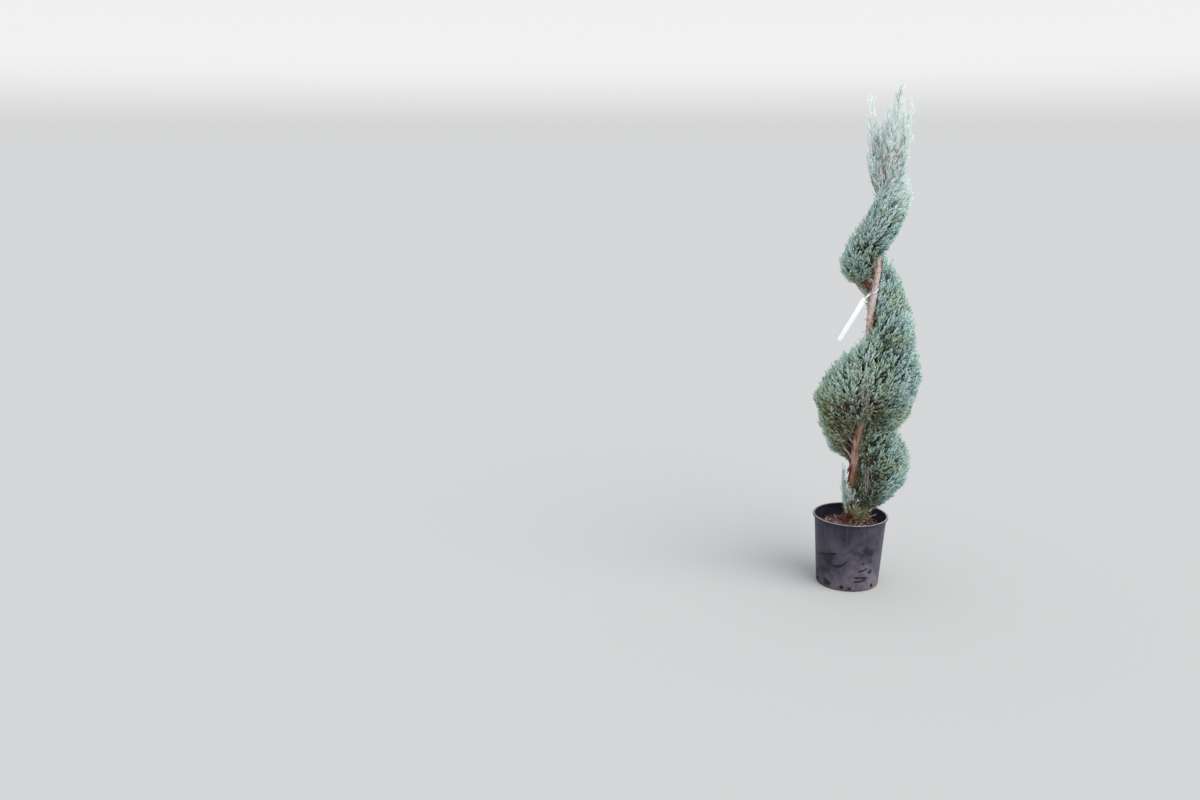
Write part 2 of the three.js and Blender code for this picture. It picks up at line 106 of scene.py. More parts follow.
BOUGHS = {  # leaves the trunk at, turn, reach, rise, thickness
    "bough_low_right": (288, 0.19, 120, 125, 6.5), "bough_low_back": (334, 0.42, 115, 130, 7.5),
    "bough_low_left_back": (430, 0.53, 115, 125, 7), "bough_low_left_under": (508, 0.74, 104, 108, 4.6),
    "bough_low_left_over": (560, 0.79, 70, 78, 4.2), "bough_mid_front": (628, 0.95, 90, 120, 6.5),
    "bough_mid_back": (806, 1.45, 110, 190, 7), "bough_high_back": (1064, 1.54, 90, 190, 6),
    "bough_high_left": (1128, 1.73, 90, 92, 4), "bough_high_front": (1222, 1.95, 62, 105, 5),
    "bough_high_right": (1306, 2.22, 62, 120, 4.6), "bough_top_back": (1452, 2.50, 46, 165, 4),
    "bough_top_left": (1486, 2.74, 46, 130, 3.8)}
PLUMES = {  # foot, tip, width, depth
    "plume_left": ((46, -2, 1540), (-4, 6, 1862), 46, 50), "plume_right": ((84, -8, 1560), (136, -4, 1866), 44, 50),
    "plume_back": ((62, 34, 1590), (58, 44, 1852), 44, 40), "plume_front": ((62, -30, 1560), (84, -40, 1836), 40, 40),
    "plume_leader": ((66, 0, 1660), (96, 0, 1904), 34, 36)}
SPRIGS = {
    "foliage_foot": ((16, -6, 246), (34, -34, 392), 44, 30), "foliage_sprig": ((-22, -2, 262), (-34, -14, 452), 20, 18)}
REGIONS = {
    "low": ["foliage_low_right", "foliage_low_back", "foliage_low_left", "foliage_foot", "foliage_sprig"],
    "mid": ["foliage_mid_front", "foliage_mid_right", "foliage_mid_back"],
    "high": ["foliage_high_left", "foliage_high_front", "foliage_high_right"],
    "top": ["plume_left", "plume_right", "plume_back", "plume_front", "plume_leader"]}


# ------------------------------------------------------------------ small tools
def curve_table(rows, keys):
    """The smooth curve through a table's rows, as the solids use it, at many keys."""
    x = rows[:, 0]
    n = len(x)
    i = np.clip(np.searchsorted(x, keys, side="right") - 1, 0, n - 2)
    slope = np.empty((n, rows.shape[1] - 1))
    for k in range(n):
        a, b = max(k - 1, 0), min(k + 1, n - 1)
        slope[k] = (rows[b, 1:] - rows[a, 1:]) / (x[b] - x[a])
    h = (x[i + 1] - x[i])[:, None]
    t = np.clip((keys - x[i]) / (x[i + 1] - x[i]), 0, 1)[:, None]
    y0, y1 = rows[i, 1:], rows[i + 1, 1:]
    return (2 * t**3 - 3 * t**2 + 1) * y0 + (t**3 - 2 * t**2 + t) * h * slope[i] + (-2 * t**3 + 3 * t**2) * y1 + (
        t**3 - t**2) * h * slope[i + 1]


_TZ = np.linspace(TRUNK_FOOT, TRUNK_TIP, 900)
_TXY = curve_table(TRUNK_LINE, _TZ)


def trunk_at(z):
    z = np.asarray(z, float)
    return np.stack([np.interp(z, _TZ, _TXY[:, 0]), np.interp(z, _TZ, _TXY[:, 1]), z], -1)


def trunk_radius(z):
    z = np.asarray(z, float)
    low = TRUNK_RADIUS_FOOT + (TRUNK_RADIUS_MID - TRUNK_RADIUS_FOOT) * (z - TRUNK_FOOT) / (1100 - TRUNK_FOOT)
    high = TRUNK_RADIUS_MID + (TRUNK_RADIUS_TOP - TRUNK_RADIUS_MID) * np.clip((z - 1100) / (TRUNK_TIP - 1100), 0, 1)
    return np.where(z < 1100, low, high)


def bearing(turn):
    return -math.pi / 2 + TAU * np.asarray(turn, float)


def unit(v):
    return v / np.maximum(np.linalg.norm(v, axis=-1, keepdims=True), 1e-9)


def dot(a, b):
    return (a * b).sum(-1)


def sides_of(d):
    """Two directions square to each direction."""
    ref = np.where(np.abs(d[..., 2:3]) < 0.9, UP, np.array([1.0, 0, 0]))
    u = unit(np.cross(d, ref))
    return u, np.cross(d, u)


def bezier2(a, b, c, t):
    return (1 - t) ** 2 * a + 2 * t * (1 - t) * b + t**2 * c


def bezier2_way(a, b, c, t):
    return unit((1 - t) * (b - a) + t * (c - b))


class Lattice:
    """Smooth value noise in space with a fixed seed, about -1 to 1."""

    def __init__(self, seed, size):
        self.v = np.random.default_rng(seed).uniform(-1, 1, (32, 32, 32))
        self.size = size

    def __call__(self, p):
        q = np.asarray(p, float) / self.size + 100.0
        i = np.floor(q).astype(int)
        f = q - i
        f = f * f * (3 - 2 * f)
        out = 0.0
        for a in (0, 1):
            for b in (0, 1):
                for c in (0, 1):
                    w = (f[..., 0] if a else 1 - f[..., 0]) * (f[..., 1] if b else 1 - f[..., 1]) * (
                        f[..., 2] if c else 1 - f[..., 2])
                    out = out + w * self.v[(i[..., 0] + a) % 32, (i[..., 1] + b) % 32, (i[..., 2] + c) % 32]
        return out


# ------------------------------------------------------------------ the space that the foliage fills
def node_mesh(name):
    me = frame["nodes"][name].data
    me.calc_loop_triangles()
    co = np.empty(len(me.vertices) * 3, np.float32)
    me.vertices.foreach_get("co", co)
    tri = np.empty(len(me.loop_triangles) * 3, np.int32)
    me.loop_triangles.foreach_get("vertices", tri)
    return co.reshape(-1, 3).astype(float) * 1000, tri.reshape(-1, 3)


def inside(tree, p):
    at, n, _, _ = tree.find_nearest(p)
    return at is not None and (p - at).dot(n) < 0


MASSES = [n for names in REGIONS.values() for n in names]
meshes = {n: node_mesh(n) for n in MASSES}
trees = {n: BVHTree.FromPolygons(co.tolist(), tri.tolist()) for n, (co, tri) in meshes.items()}
boxes = {n: (co.min(0) - 8, co.max(0) + 8) for n, (co, tri) in meshes.items()}

skin_points, skin_faces, skin_mass = [], [], []
base_index = 0
for m, name in enumerate(MASSES):
    co, tri = meshes[name]
    a, b, c = co[tri[:, 0]], co[tri[:, 1]], co[tri[:, 2]]
    centre = (a + b + c) / 3
    normal = unit(np.cross(b - a, c - a))
    out = centre + 5.0 * normal
    axis = trunk_at(centre[:, 2])
    near_trunk = np.hypot(*(centre - axis)[:, :2].T) < trunk_radius(centre[:, 2]) + 9
    if name in SPRIGS or name in PLUMES:
        near_trunk[:] = False
    keep = ~near_trunk
    for other in MASSES:
        if other == name:
            continue
        lo, hi = boxes[other]
        for k in np.nonzero(keep & ((out > lo) & (out < hi)).all(1))[0]:
            if inside(trees[other], Vector(out[k])):
                keep[k] = False
    skin_points.append(co)
    skin_faces.append(tri[keep] + base_index)
    skin_mass.append(np.full(keep.sum(), m))
    base_index += len(co)
skin_points = np.concatenate(skin_points)
skin_faces = np.concatenate(skin_faces)
skin_mass = np.concatenate(skin_mass)
skin = BVHTree.FromPolygons(skin_points.tolist(), skin_faces.tolist())

CELL = 9.0
grid_low = skin_points.min(0) - 36
grid_count = np.ceil((skin_points.max(0) + 36 - grid_low) / CELL).astype(int) + 1
field = np.empty(grid_count, np.float32)
for i in range(grid_count[0]):
    for j in range(grid_count[1]):
        x, y = grid_low[0] + i * CELL, grid_low[1] + j * CELL
        for k in range(grid_count[2]):
            p = Vector((x, y, grid_low[2] + k * CELL))
            at, n, _, far = skin.find_nearest(p)
            field[i, j, k] = far if (p - at).dot(n) >= 0 else -far


def depth_out(p):
    """How far a point is outside the foliage's clipped surface, in mm; less than nothing inside."""
    q = np.clip((p - grid_low) / CELL, 0, grid_count - 1.001)
    i = q.astype(int)
    f = q - i
    out = 0.0
    for a in (0, 1):
        for b in (0, 1):
            for c in (0, 1):
                w = (f[..., 0] if a else 1 - f[..., 0]) * (f[..., 1] if b else 1 - f[..., 1]) * (
                    f[..., 2] if c else 1 - f[..., 2])
                out = out + w * field[i[..., 0] + a, i[..., 1] + b, i[..., 2] + c]
    return out


def outward(p, step=7.0):
    g = np.stack([depth_out(p + step * e) - depth_out(p - step * e) for e in np.eye(3)], -1)
    return unit(g)


# ------------------------------------------------------------------ where shoots end on the clipped surface
rng = np.random.default_rng(20611)
tri_a, tri_b, tri_c = (skin_points[skin_faces[:, k]] for k in range(3))
tri_area = 0.5 * np.linalg.norm(np.cross(tri_b - tri_a, tri_c - tri_a), axis=1)


def scatter(mass_names, spacing, seed, tries=9.0):
    """Points spread evenly over the outer surface of some masses, no two nearer than the spacing."""
    r = np.random.default_rng(seed)
    wanted = np.isin(skin_mass, [MASSES.index(n) for n in mass_names])
    area = np.where(wanted, tri_area, 0)
    n = int(area.sum() / spacing**2 * tries)
    pick = r.choice(len(area), n, p=area / area.sum())
    u, v = r.random(n), r.random(n)
    flip = u + v > 1
    u[flip], v[flip] = 1 - u[flip], 1 - v[flip]
    p = tri_a[pick] + u[:, None] * (tri_b - tri_a)[pick] + v[:, None] * (tri_c - tri_a)[pick]
    cells, kept = {}, []
    for k, q in enumerate(p):
        key = tuple((q // spacing).astype(int))
        clear = True
        for dx in (-1, 0, 1):
            for dy in (-1, 0, 1):
                for dz in (-1, 0, 1):
                    for o in cells.get((key[0] + dx, key[1] + dy, key[2] + dz), ()):
                        if ((p[o] - q) ** 2).sum() < spacing**2:
                            clear = False
        if clear:
            cells.setdefault(key, []).append(k)
            kept.append(k)
    return p[kept], skin_mass[pick[kept]]



# ------------------------------------------------------------------ the limbs that grow from the trunk
class Wood:
    """Points of the limbs and twigs, each with its parent point, the way it grows and the shoots it carries."""

    def __init__(self):
        self.at, self.way, self.parent, self.kind = [], [], [], []
        self.runs = []  # each limb or twig: its point numbers from its parent's point to its end

    def add(self, points, parent, kind):
        points = np.asarray(points, float)
        ways = unit(np.gradient(points, axis=0)) if len(points) > 1 else unit(points - self.at[parent])
        run = [parent] if parent is not None else []
        for p, w in zip(points, ways):
            self.at.append(p)
            self.way.append(w)
            self.parent.append(run[-1] if run else -1)
            self.kind.append(kind)
            run.append(len(self.at) - 1)
        self.runs.append((kind, run))
        return run


wood = Wood()


def section(turn):
    reach, low, nose, high, full, crown = curve_table(STATIONS, np.array([float(turn)]))[0]
    return reach, low, nose, high, full, crown


def band_heights(turn, share):
    """Under and upper side of the band at a share of its reach."""
    reach, low, nose, high, full, crown = section(turn)
    return nose - (nose - low) * (1 - share**full), nose + (high - nose) * (1 - share**crown)


bough_runs = {}
for name, (leaves, turn, reach, rise, thick) in BOUGHS.items():
    a = float(bearing(turn))
    t = np.linspace(0.03, 1.0, 16)
    foot = trunk_at(leaves)
    points = foot + np.stack([np.cos(a) * reach * t, np.sin(a) * reach * t, rise * (0.62 * t + 0.38 * t * t)], -1)
    bough_runs[name] = wood.add(points, None, "bough")

limb_radius = {}
for turn in np.arange(0.10, 2.40, 0.047):
    for share in (0.16, 0.40, 0.66):
        turn_here = turn + rng.uniform(-0.02, 0.02)
        reach = section(turn_here)[0]
        lo0, hi0 = band_heights(turn_here, 0.08)
        far = rng.uniform(0.55, 0.74)
        lo1, hi1 = band_heights(turn_here, far)
        start = lo0 + (hi0 - lo0) * np.clip(share * 0.72 + rng.uniform(-0.05, 0.05), 0.1, 0.6)
        end = lo1 + (hi1 - lo1) * np.clip(share + 0.18 + rng.uniform(-0.06, 0.06), 0.2, 0.92)
        end = max(end, start + 0.35 * reach * far)
        a0 = float(bearing(turn_here))
        foot, tip = trunk_at(start), trunk_at(end)
        foot = foot + 0.5 * trunk_radius(start) * np.array([math.cos(a0), math.sin(a0), 0])
        tip = tip + reach * far * np.array([math.cos(a0), math.sin(a0), 0])
        tip[2] = end
        elbow = foot * 0.5 + tip * 0.5 + np.array([math.cos(a0), math.sin(a0), 0]) * 0.16 * reach - UP * 0.06 * reach
        t = np.linspace(0, 1, 12)[:, None]
        points = bezier2(foot, elbow, tip, t)
        wander = rng.normal(0, 1, (12, 3)).cumsum(0)
        wander -= t * wander[-1]
        wood.add(points + 1.1 * wander, None, "limb")

# the leader and the stems of the open tuft
z = np.arange(1400, 1880, 14.0)
leader_run = wood.add(trunk_at(z), None, "leader")
for name, (foot, tip, width, depth) in PLUMES.items():
    foot, tip = np.array(foot, float), np.array(tip, float)
    if name == "plume_leader":
        continue
    start = trunk_at(foot[2] - 90)
    t = np.linspace(0, 1, 16)[:, None]
    end = foot + (tip - foot) * 0.80
    points = bezier2(start, foot + (tip - foot) * 0.22, end, t)
    wander = rng.normal(0, 1, (16, 3)).cumsum(0)
    wander -= t * wander[-1]
    wood.add(points + 1.0 * wander, None, "limb")
for name, (foot, tip, width, depth) in SPRIGS.items():
    foot, tip = np.array(foot, float), np.array(tip, float)
    if name == "foliage_foot":
        start = trunk_at(262.0)
    else:
        start = trunk_at(300.0)
    t = np.linspace(0, 1, 10)[:, None]
    points = bezier2(start, foot + (tip - foot) * 0.15, foot + (tip - foot) * 0.78, t)
    wood.add(points, None, "limb")

# ------------------------------------------------------------------ shoots: where each ends, and which way it points
def away_from_trunk(p):
    r = p - trunk_at(p[:, 2])
    r[:, 2] = 0
    return unit(r)


def shoot_ways(p, n, up=0.92, out=0.40, round_=0.42, square=0.26, shake=0.13, seed=1):
    """Up and outwards, and leaning the way the band rises."""
    r = np.random.default_rng(seed)
    radial = away_from_trunk(p)
    along = np.stack([-radial[:, 1], radial[:, 0], np.zeros(len(p))], -1)
    under = np.clip(-n[:, 2], 0, 1)[:, None]
    d = up * UP * (1 - 0.40 * under) + (out + 0.35 * under) * radial + round_ * along + square * n * (1 - 0.4 * under)
    d = unit(d + shake * r.normal(0, 1, p.shape))
    low = dot(d, n)
    d = unit(d + np.clip(0.10 - low, 0, None)[:, None] * n)
    return d


lumps = Lattice(5, 46.0)
tints = Lattice(8, 70.0)
speck = Lattice(9, 24.0)

shoots = {"tip": [], "way": [], "length": [], "normal": [], "mass": [], "slim": [], "region": [], "dead": []}


def add_shoots(tip, way, length, normal, mass, slim, region, dead=0):
    shoots["tip"].append(tip)
    shoots["way"].append(way)
    shoots["length"].append(length)
    shoots["normal"].append(normal)
    shoots["mass"].append(mass)
    shoots["slim"].append(np.full(len(tip), slim, float))
    shoots["region"].append(np.full(len(tip), region))
    shoots["dead"].append(np.full(len(tip), float(dead)))


def shaded_hollow(p):
    """Old growth close to the trunk, low on its right, in a hollow whose shade is painted into the leaves as a darker
    tone.
    """
    off = p - trunk_at(p[:, 2])
    right = off[:, 0] * 0.973 + off[:, 1] * 0.232
    return np.clip((108 - right) / 45, 0, 1) * np.clip((right + 30) / 20, 0, 1) * np.clip((560 - p[:, 2]) / 80, 0, 1) * (off[:, 1] < 30)


def worn(p):
    """Where the foliage is thin, old and brown: low on the front, under the band and close to the trunk."""
    off = p - trunk_at(p[:, 2])
    reach = np.hypot(off[:, 0], off[:, 1])
    front = np.clip((-0.38 * off[:, 0] - 0.92 * off[:, 1]) / np.maximum(reach, 1), 0, 1)
    patch = np.clip((840 - p[:, 2]) / 100, 0, 1) * np.clip((p[:, 2] - 480) / 60, 0, 1) * np.clip((front - 0.30) / 0.35, 0, 1)
    near = np.clip((85 - reach) / 45, 0, 1) * (1 - 0.75 * np.clip((p[:, 2] - 820) / 160, 0, 1)) * (p[:, 2] < 1500)
    patchy = 0.75 + 0.5 * speck(p)
    return np.clip((0.85 * patch + 0.85 * shaded_hollow(p)) * patchy + 0.5 * near, 0, 1)


SPACING = 18.2
LEAN = {"low": (0.10, 0.38), "mid": (0.16, 0.28), "high": (0.56, 0.30)}  # how far shoots lean along the band, and outwards
for number, (region, names) in enumerate(REGIONS.items()):
    if region == "top":
        continue
    p, mass = scatter([n for n in names if n.startswith("foliage_") and n not in SPRIGS], SPACING, 100 + number)
    n = outward(p)
    r = np.random.default_rng(300 + number)
    under = np.clip(-n[:, 2], 0, 1)
    keep = r.random(len(p)) > 0.28 * under + 0.24 * worn(p)
    p, n, mass, under = p[keep], n[keep], mass[keep], under[keep]
    d = shoot_ways(p, n, round_=LEAN[region][0], out=LEAN[region][1], seed=200 + number)
    length = r.uniform(64, 104, len(p)) * (1 - 0.25 * under)
    rag = 5.4 + 4.5 * under + 3.0 * np.clip((640 - p[:, 2]) / 100, 0, 1) + 2.2 * np.clip((p[:, 2] - 1150) / 120, 0, 1)
    tip = p + d * (-1.5 + 7.0 * lumps(p) + np.clip(rag * r.normal(0, 1, len(p)), -12, 15))[:, None]
    loose = (mass == MASSES.index("foliage_low_right")) & (n[:, 0] > 0.1) & (r.random(len(p)) < 0.30)
    loose |= (p[:, 2] > 1160) & (n[:, 2] > -0.2) & (r.random(len(p)) < 0.26)
    tip[loose] += d[loose] * r.uniform(6, 15, loose.sum())[:, None]
    add_shoots(tip, d, length, n, mass, 0.0, number)

# the yellowing growth that fans out from the trunk's foot, to its right
r = np.random.default_rng(431)
many = 28
root = np.stack([r.uniform(-2, 32, many), r.uniform(-22, 2, many), r.uniform(246, 262, many)], -1)
fan = np.radians(r.uniform(-20, 64, many))
d = unit(np.stack([np.sin(fan), r.uniform(-0.45, 0.15, many), np.cos(fan)], -1))
long = r.uniform(38, 92, many)
p = root + d * long[:, None]
clear = (p[:, 0] > -6) | (p[:, 2] > 322)
n = unit(p - np.array([16.0, 0, 240]))
add_shoots(p[clear], d[clear], 0.80 * long[clear], n[clear], np.full(clear.sum(), MASSES.index("foliage_foot")), 0.7, 0)
# the pale blue spray to its left, feathery and narrow
foot, tip = (np.array(v, float) for v in SPRIGS["foliage_sprig"][:2])
t = np.linspace(0.42, 1.16, 13)
p = foot + (tip - foot) * t[:, None] + r.normal(0, 1, (13, 3)) * np.array([4.5, 4.5, 2.0])
d = unit(unit((tip - foot)[None]) + 0.22 * np.clip(r.normal(0, 1, (13, 3)), -1.1, 1.1) * np.array([1, 1, 0.2]))
add_shoots(p, d, r.uniform(40, 66, 13), unit(r.normal(0, 1, (13, 3)) * np.array([1, 1, 0])), np.full(13, MASSES.index("foliage_sprig")), 0.8, 0)
# a pale tuft close in front of the trunk
p = np.array([[-2.0, -16, 364], [3, -18, 374], [8, -15, 386], [-6, -14, 378], [6, -20, 358], [11, -16, 368], [0, -14, 384], [-4, -18, 352], [-7, -15, 398]])
add_shoots(p, unit(np.array([[-0.05, -0.15, 1.0]]) + 0.16 * r.normal(0, 1, p.shape)), r.uniform(32, 46, len(p)), np.tile([[0, -1.0, 0]], (len(p), 1)),
           np.full(len(p), MASSES.index("foliage_foot")), 0.5, 0, 0.2)

# old shaded shoots behind it, close to the trunk: dark filler for the shade there, set face down so that they take the
# underside's painted shade
p = np.array([30.0, 40, 344]) + r.normal(0, 1, (16, 3)) * np.array([8, 12, 10])
add_shoots(p, unit(np.array([[0.15, -0.1, 1.0]]) + 0.5 * r.normal(0, 1, p.shape)), r.uniform(26, 40, len(p)), np.tile([[0.3, -0.6, -0.7]], (len(p), 1)),
           np.full(len(p), MASSES.index("foliage_low_right")), 0.6, 0)

for k, (name, (foot, tip, width, depth)) in enumerate(PLUMES.items()):
    p, mass = scatter([name], 24.0, 500 + k)
    n = outward(p)
    foot, tip = np.array(foot, float), np.array(tip, float)
    along = unit((tip - foot)[None])[0]
    share = np.clip((p[:, 2] - foot[2]) / (tip[2] - foot[2]), 0, 1)
    keep = rng.random(len(p)) < 0.96 - (0.10 if name == "plume_leader" else 0.60) * share
    keep &= ~((np.abs(p[:, 0] - 54) < 19) & (p[:, 1] < 6) & (p[:, 2] > 1500) & (p[:, 2] < 1690) & (rng.random(len(p)) < 0.7))
    p, n, mass, share = p[keep], n[keep], mass[keep], share[keep]
    d = unit(1.35 * UP + 0.7 * along + (0.66 - 0.26 * share)[:, None] * n + 0.17 * rng.normal(0, 1, p.shape))
    if name == "plume_left":
        p = p + np.array([1.0, 0, 0]) * (8 * np.clip(1 - share / 0.5, 0, 1) - 9 * np.clip((share - 0.6) / 0.2, 0, 1))[:, None]
    add_shoots(p + d * rng.normal(2, 9, len(p))[:, None], d, rng.uniform(84, 140, len(p)), n, mass, 0.85, 3)
    # the plume's own end
    end = tip[None] + np.array([[0, 0, 12.0 if name == "plume_leader" else -12.0]])
    more = ((14.0, 66.0), (30.0, 70.0), (48.0, 74.0), (66.0, 78.0), (86.0, 82.0), (106.0, 86.0), (128.0, 90.0)) if name == "plume_leader" else ()
    for back, long in ((0.0, 170.0), (34.0, 120.0), (66.0, 110.0)) + more:
        add_shoots(end - back * along, unit(along[None] + (0.17 if long < 100 else 0.10) * rng.normal(0, 1, (1, 3)) * (back > 0)), np.array([long]), UP[None], np.array([MASSES.index(name)]), 0.95, 3)

# a few dead bits caught by the trunk
for z0, turn, off, many in ((1190, 0.88, 17, 5), (1206, 0.84, 22, 2), (262, 0.10, 26, 6), (300, 0.12, 24, 3)):
    a = bearing(turn + rng.uniform(-0.06, 0.06, many))
    p = trunk_at(z0 + rng.uniform(-12, 14, many)) + np.stack([np.cos(a), np.sin(a), 0 * a], -1) * (off + rng.uniform(-4, 6, many))[:, None]
    p = p + (z0 > 600) * np.array([-15.6, 6.0, -11.0])
    d = unit(UP * rng.uniform(-0.9, 0.7, (many, 1)) + rng.normal(0, 0.6, (many, 3)) + np.stack([np.cos(a), np.sin(a), 0 * a], -1) * 0.5)
    add_shoots(p, d, rng.uniform(18, 32, many), d, np.full(many, 0 if z0 < 600 else 6), 0.6, 0 if z0 < 600 else 2, 1)

for key in shoots:
    shoots[key] = np.concatenate(shoots[key])
count = len(shoots["tip"])

# the shoot's stem: a curve that leaves its twig outwards and turns up to its end
tip, way, length = shoots["tip"], shoots["way"], shoots["length"]
radial = away_from_trunk(tip)
slim = shoots["slim"][:, None]
foot_way = unit(way + radial * 0.55 * (1 - slim) - UP * 0.30 * (1 - slim))
stem_b = tip - way * length[:, None] * 0.5
stem_a = stem_b - foot_way * length[:, None] * 0.5

# ------------------------------------------------------------------ twigs: each shoot joins the wood that is nearest on its way
base_number = len(wood.at)
room = base_number + count * 8
net_at = np.zeros((room, 3))
net_way = np.zeros((room, 3))
net_at[:base_number] = wood.at
net_way[:base_number] = wood.way
used = base_number
order = np.argsort(np.linalg.norm((stem_a - trunk_at(stem_a[:, 2]))[:, :2], axis=1))
shoot_root = np.zeros(count, int)
twig_rng = np.random.default_rng(77)
for k in order:
    b, db = stem_a[k], foot_way[k]
    gap = b - net_at[:used]
    far = np.sqrt((gap**2).sum(1)) + 1e-6
    hat = gap / far[:, None]
    cost = far * (1 + 0.9 * (1 - (hat * net_way[:used]).sum(1)) + 0.7 * (1 - hat @ db)) + 0.25 * np.clip(-gap[:, 2], 0, None)
    q = int(cost.argmin())
    dist = far[q]
    steps = int(np.clip(round(dist / 13.0), 1, 6))
    t = (np.arange(1, steps + 1) / steps)[:, None]
    m0 = unit((0.7 * net_way[q] + hat[q])[None])[0] * dist * 0.9
    m1 = db * dist * 0.8
    h = (2 * t**3 - 3 * t**2 + 1) * net_at[q] + (t**3 - 2 * t**2 + t) * m0 + (-2 * t**3 + 3 * t**2) * b + (t**3 - t**2) * m1
    h[:-1] += twig_rng.normal(0, 0.7, (steps - 1, 3))
    wood.add(h, q, "twig")
    net_at[used:used + steps] = h
    net_way[used:used + steps] = np.array(wood.way[-steps:])
    used += steps
    shoot_root[k] = used - 1

load = np.zeros(used)
parent = np.array(wood.parent)
for k in range(count):
    j = shoot_root[k]
    while j >= 0:
        load[j] += 1
        j = parent[j]


# ------------------------------------------------------------------ sprays along each shoot
SPRAYS = 12  # along a shoot, besides the one that ends it
LEAVES = 16  # side branchlets of scale leaves on a spray
r = np.random.default_rng(911)
N, K = count, SPRAYS + 1
s_at = np.clip((np.arange(K) + 0.3)[None] / (K - 0.7) * 0.90 + 0.07 + r.uniform(-0.03, 0.03, (N, K)), 0.02, 1.0)
s_at[:, -1] = 1.0
A, B, C = stem_a[:, None, :], stem_b[:, None, :], tip[:, None, :]
spray_at = bezier2(A, B, C, s_at[..., None])
stem_way = bezier2_way(A, B, C, s_at[..., None])
u, v = sides_of(stem_way)
az = (np.arange(K) * 2.399963)[None] + r.uniform(0, TAU, (N, 1)) + r.uniform(-0.5, 0.5, (N, K))
slim2 = shoots["slim"][:, None]
lean = np.radians((29 - 9 * s_at) * (1 + 0.28 * slim2) + r.normal(0, 6, (N, K)))
lean[:, -1] = 0.04
side = np.cos(az)[..., None] * u + np.sin(az)[..., None] * v
spray_way = np.cos(lean)[..., None] * stem_way + np.sin(lean)[..., None] * side
spray_long = (39 - 15 * s_at) * (1 + 0.02 * slim2) * r.uniform(0.70, 1.25, (N, K)) * (length[:, None] / 80) ** 0.4
spray_long[:, -1] = 24 * r.uniform(0.8, 1.3, N)
end_way = unit(spray_way + 0.70 * stem_way + 0.16 * UP)
allow = r.normal(6.5, 4.0, (N, K)) + slim2 * (1.5 + 8 * np.clip((tip[:, 2:] - 1700) / 100, 0, 1))
for _ in range(3):
    far_end = spray_at + spray_long[..., None] * 0.5 * (spray_way + end_way)
    over = depth_out(far_end) - allow
    spray_long = np.clip(spray_long - np.clip(over, 0, None) * 1.1, 9.0, None)
far_end = spray_at + spray_long[..., None] * 0.5 * (spray_way + end_way)
depth = -depth_out(far_end)
present = (depth_out(spray_at) < allow + 3) | (slim2 > 0.5)
off = far_end - trunk_at(far_end[..., 2].reshape(-1)).reshape(far_end.shape)  # the bare trunk stays clear in the upper gap
present &= ~((np.abs(0.973 * off[..., 0] + 0.232 * off[..., 1]) < 18) & (off[..., 1] < 6) & (np.abs(far_end[..., 2] - 1125) < 92))
present &= r.random((N, K)) > 0.25 * worn(shoots["tip"])[:, None]
present &= r.random((N, K)) > (slim2 > 0.5) * (0.12 + 0.30 * (1 - s_at))

# inner sprays on the older wood, in the shade
inner_points = np.array(wood.at[:used])
inner_ways = np.array(wood.way[:used])
inner_depth = -depth_out(inner_points)
kinds = np.array(wood.kind[:used])
ri = np.random.default_rng(912)
chance = np.where((kinds == "twig") | (kinds == "limb"), 0.5, 0.0) * (inner_depth > 12) * (inner_depth < 75) * (inner_points[:, 2] < 1560)
pick = np.nonzero(ri.random(used) < chance)[0]
low_chance = np.where((kinds == "twig") | (kinds == "limb"), 0.9, 0.0) * (inner_depth > 6) * (inner_points[:, 2] < 640)
pick = np.concatenate([pick, np.nonzero(ri.random(used) < low_chance)[0]])

flat = present.reshape(-1)
SP = {
    "at": spray_at.reshape(-1, 3)[flat], "way": spray_way.reshape(-1, 3)[flat], "end": end_way.reshape(-1, 3)[flat],
    "long": spray_long.reshape(-1)[flat], "depth": depth.reshape(-1)[flat], "s": s_at.reshape(-1)[flat],
    "shoot": np.repeat(np.arange(N), K)[flat], "inner": np.zeros(flat.sum(), bool)}
iu, iv = sides_of(inner_ways[pick])
ia = ri.uniform(0, TAU, len(pick))[:, None]
iway = unit(0.65 * inner_ways[pick] + 0.75 * (np.cos(ia) * iu + np.sin(ia) * iv) + 0.25 * UP)
near_shoot = np.zeros(len(pick), int)
for j0 in range(0, len(pick), 2000):
    gap = inner_points[pick[j0:j0 + 2000], None, :] - tip[None]
    near_shoot[j0:j0 + 2000] = (gap**2).sum(-1).argmin(1)
SP_inner = {
    "at": inner_points[pick], "way": iway, "end": unit(iway + 0.5 * UP), "long": ri.uniform(18, 33, len(pick)),
    "depth": inner_depth[pick], "s": ri.uniform(0, 0.5, len(pick)), "shoot": near_shoot, "inner": np.ones(len(pick), bool)}
SP = {k: np.concatenate([SP[k], SP_inner[k]]) for k in SP}
M = len(SP["at"])

# ------------------------------------------------------------------ scale-leaved branchlets on each spray
r = np.random.default_rng(913)
J = LEAVES
v_at = np.clip(np.linspace(0.10, 0.95, J)[None] + r.uniform(-0.025, 0.025, (M, J)), 0.03, 1)
P0 = SP["at"][:, None]
P1 = P0 + (SP["way"] * SP["long"][:, None] * 0.5)[:, None]
P2 = P1 + (SP["end"] * SP["long"][:, None] * 0.5)[:, None]
leaf_at = bezier2(P0, P1, P2, v_at[..., None])
axis_way = bezier2_way(P0, P1, P2, v_at[..., None])
u, v = sides_of(axis_way)
roll = r.uniform(0, TAU, (M, 1)) + np.where(np.arange(J) % 2 == 0, 0, math.pi)[None] + r.normal(0, 0.75, (M, J))
side = np.cos(roll)[..., None] * u + np.sin(roll)[..., None] * v
lean = np.radians(29 - 9 * v_at + r.normal(0, 6, (M, J)))
leaf_way = unit(np.cos(lean)[..., None] * axis_way + np.sin(lean)[..., None] * side)
slim_of = shoots["slim"][SP["shoot"]][:, None]
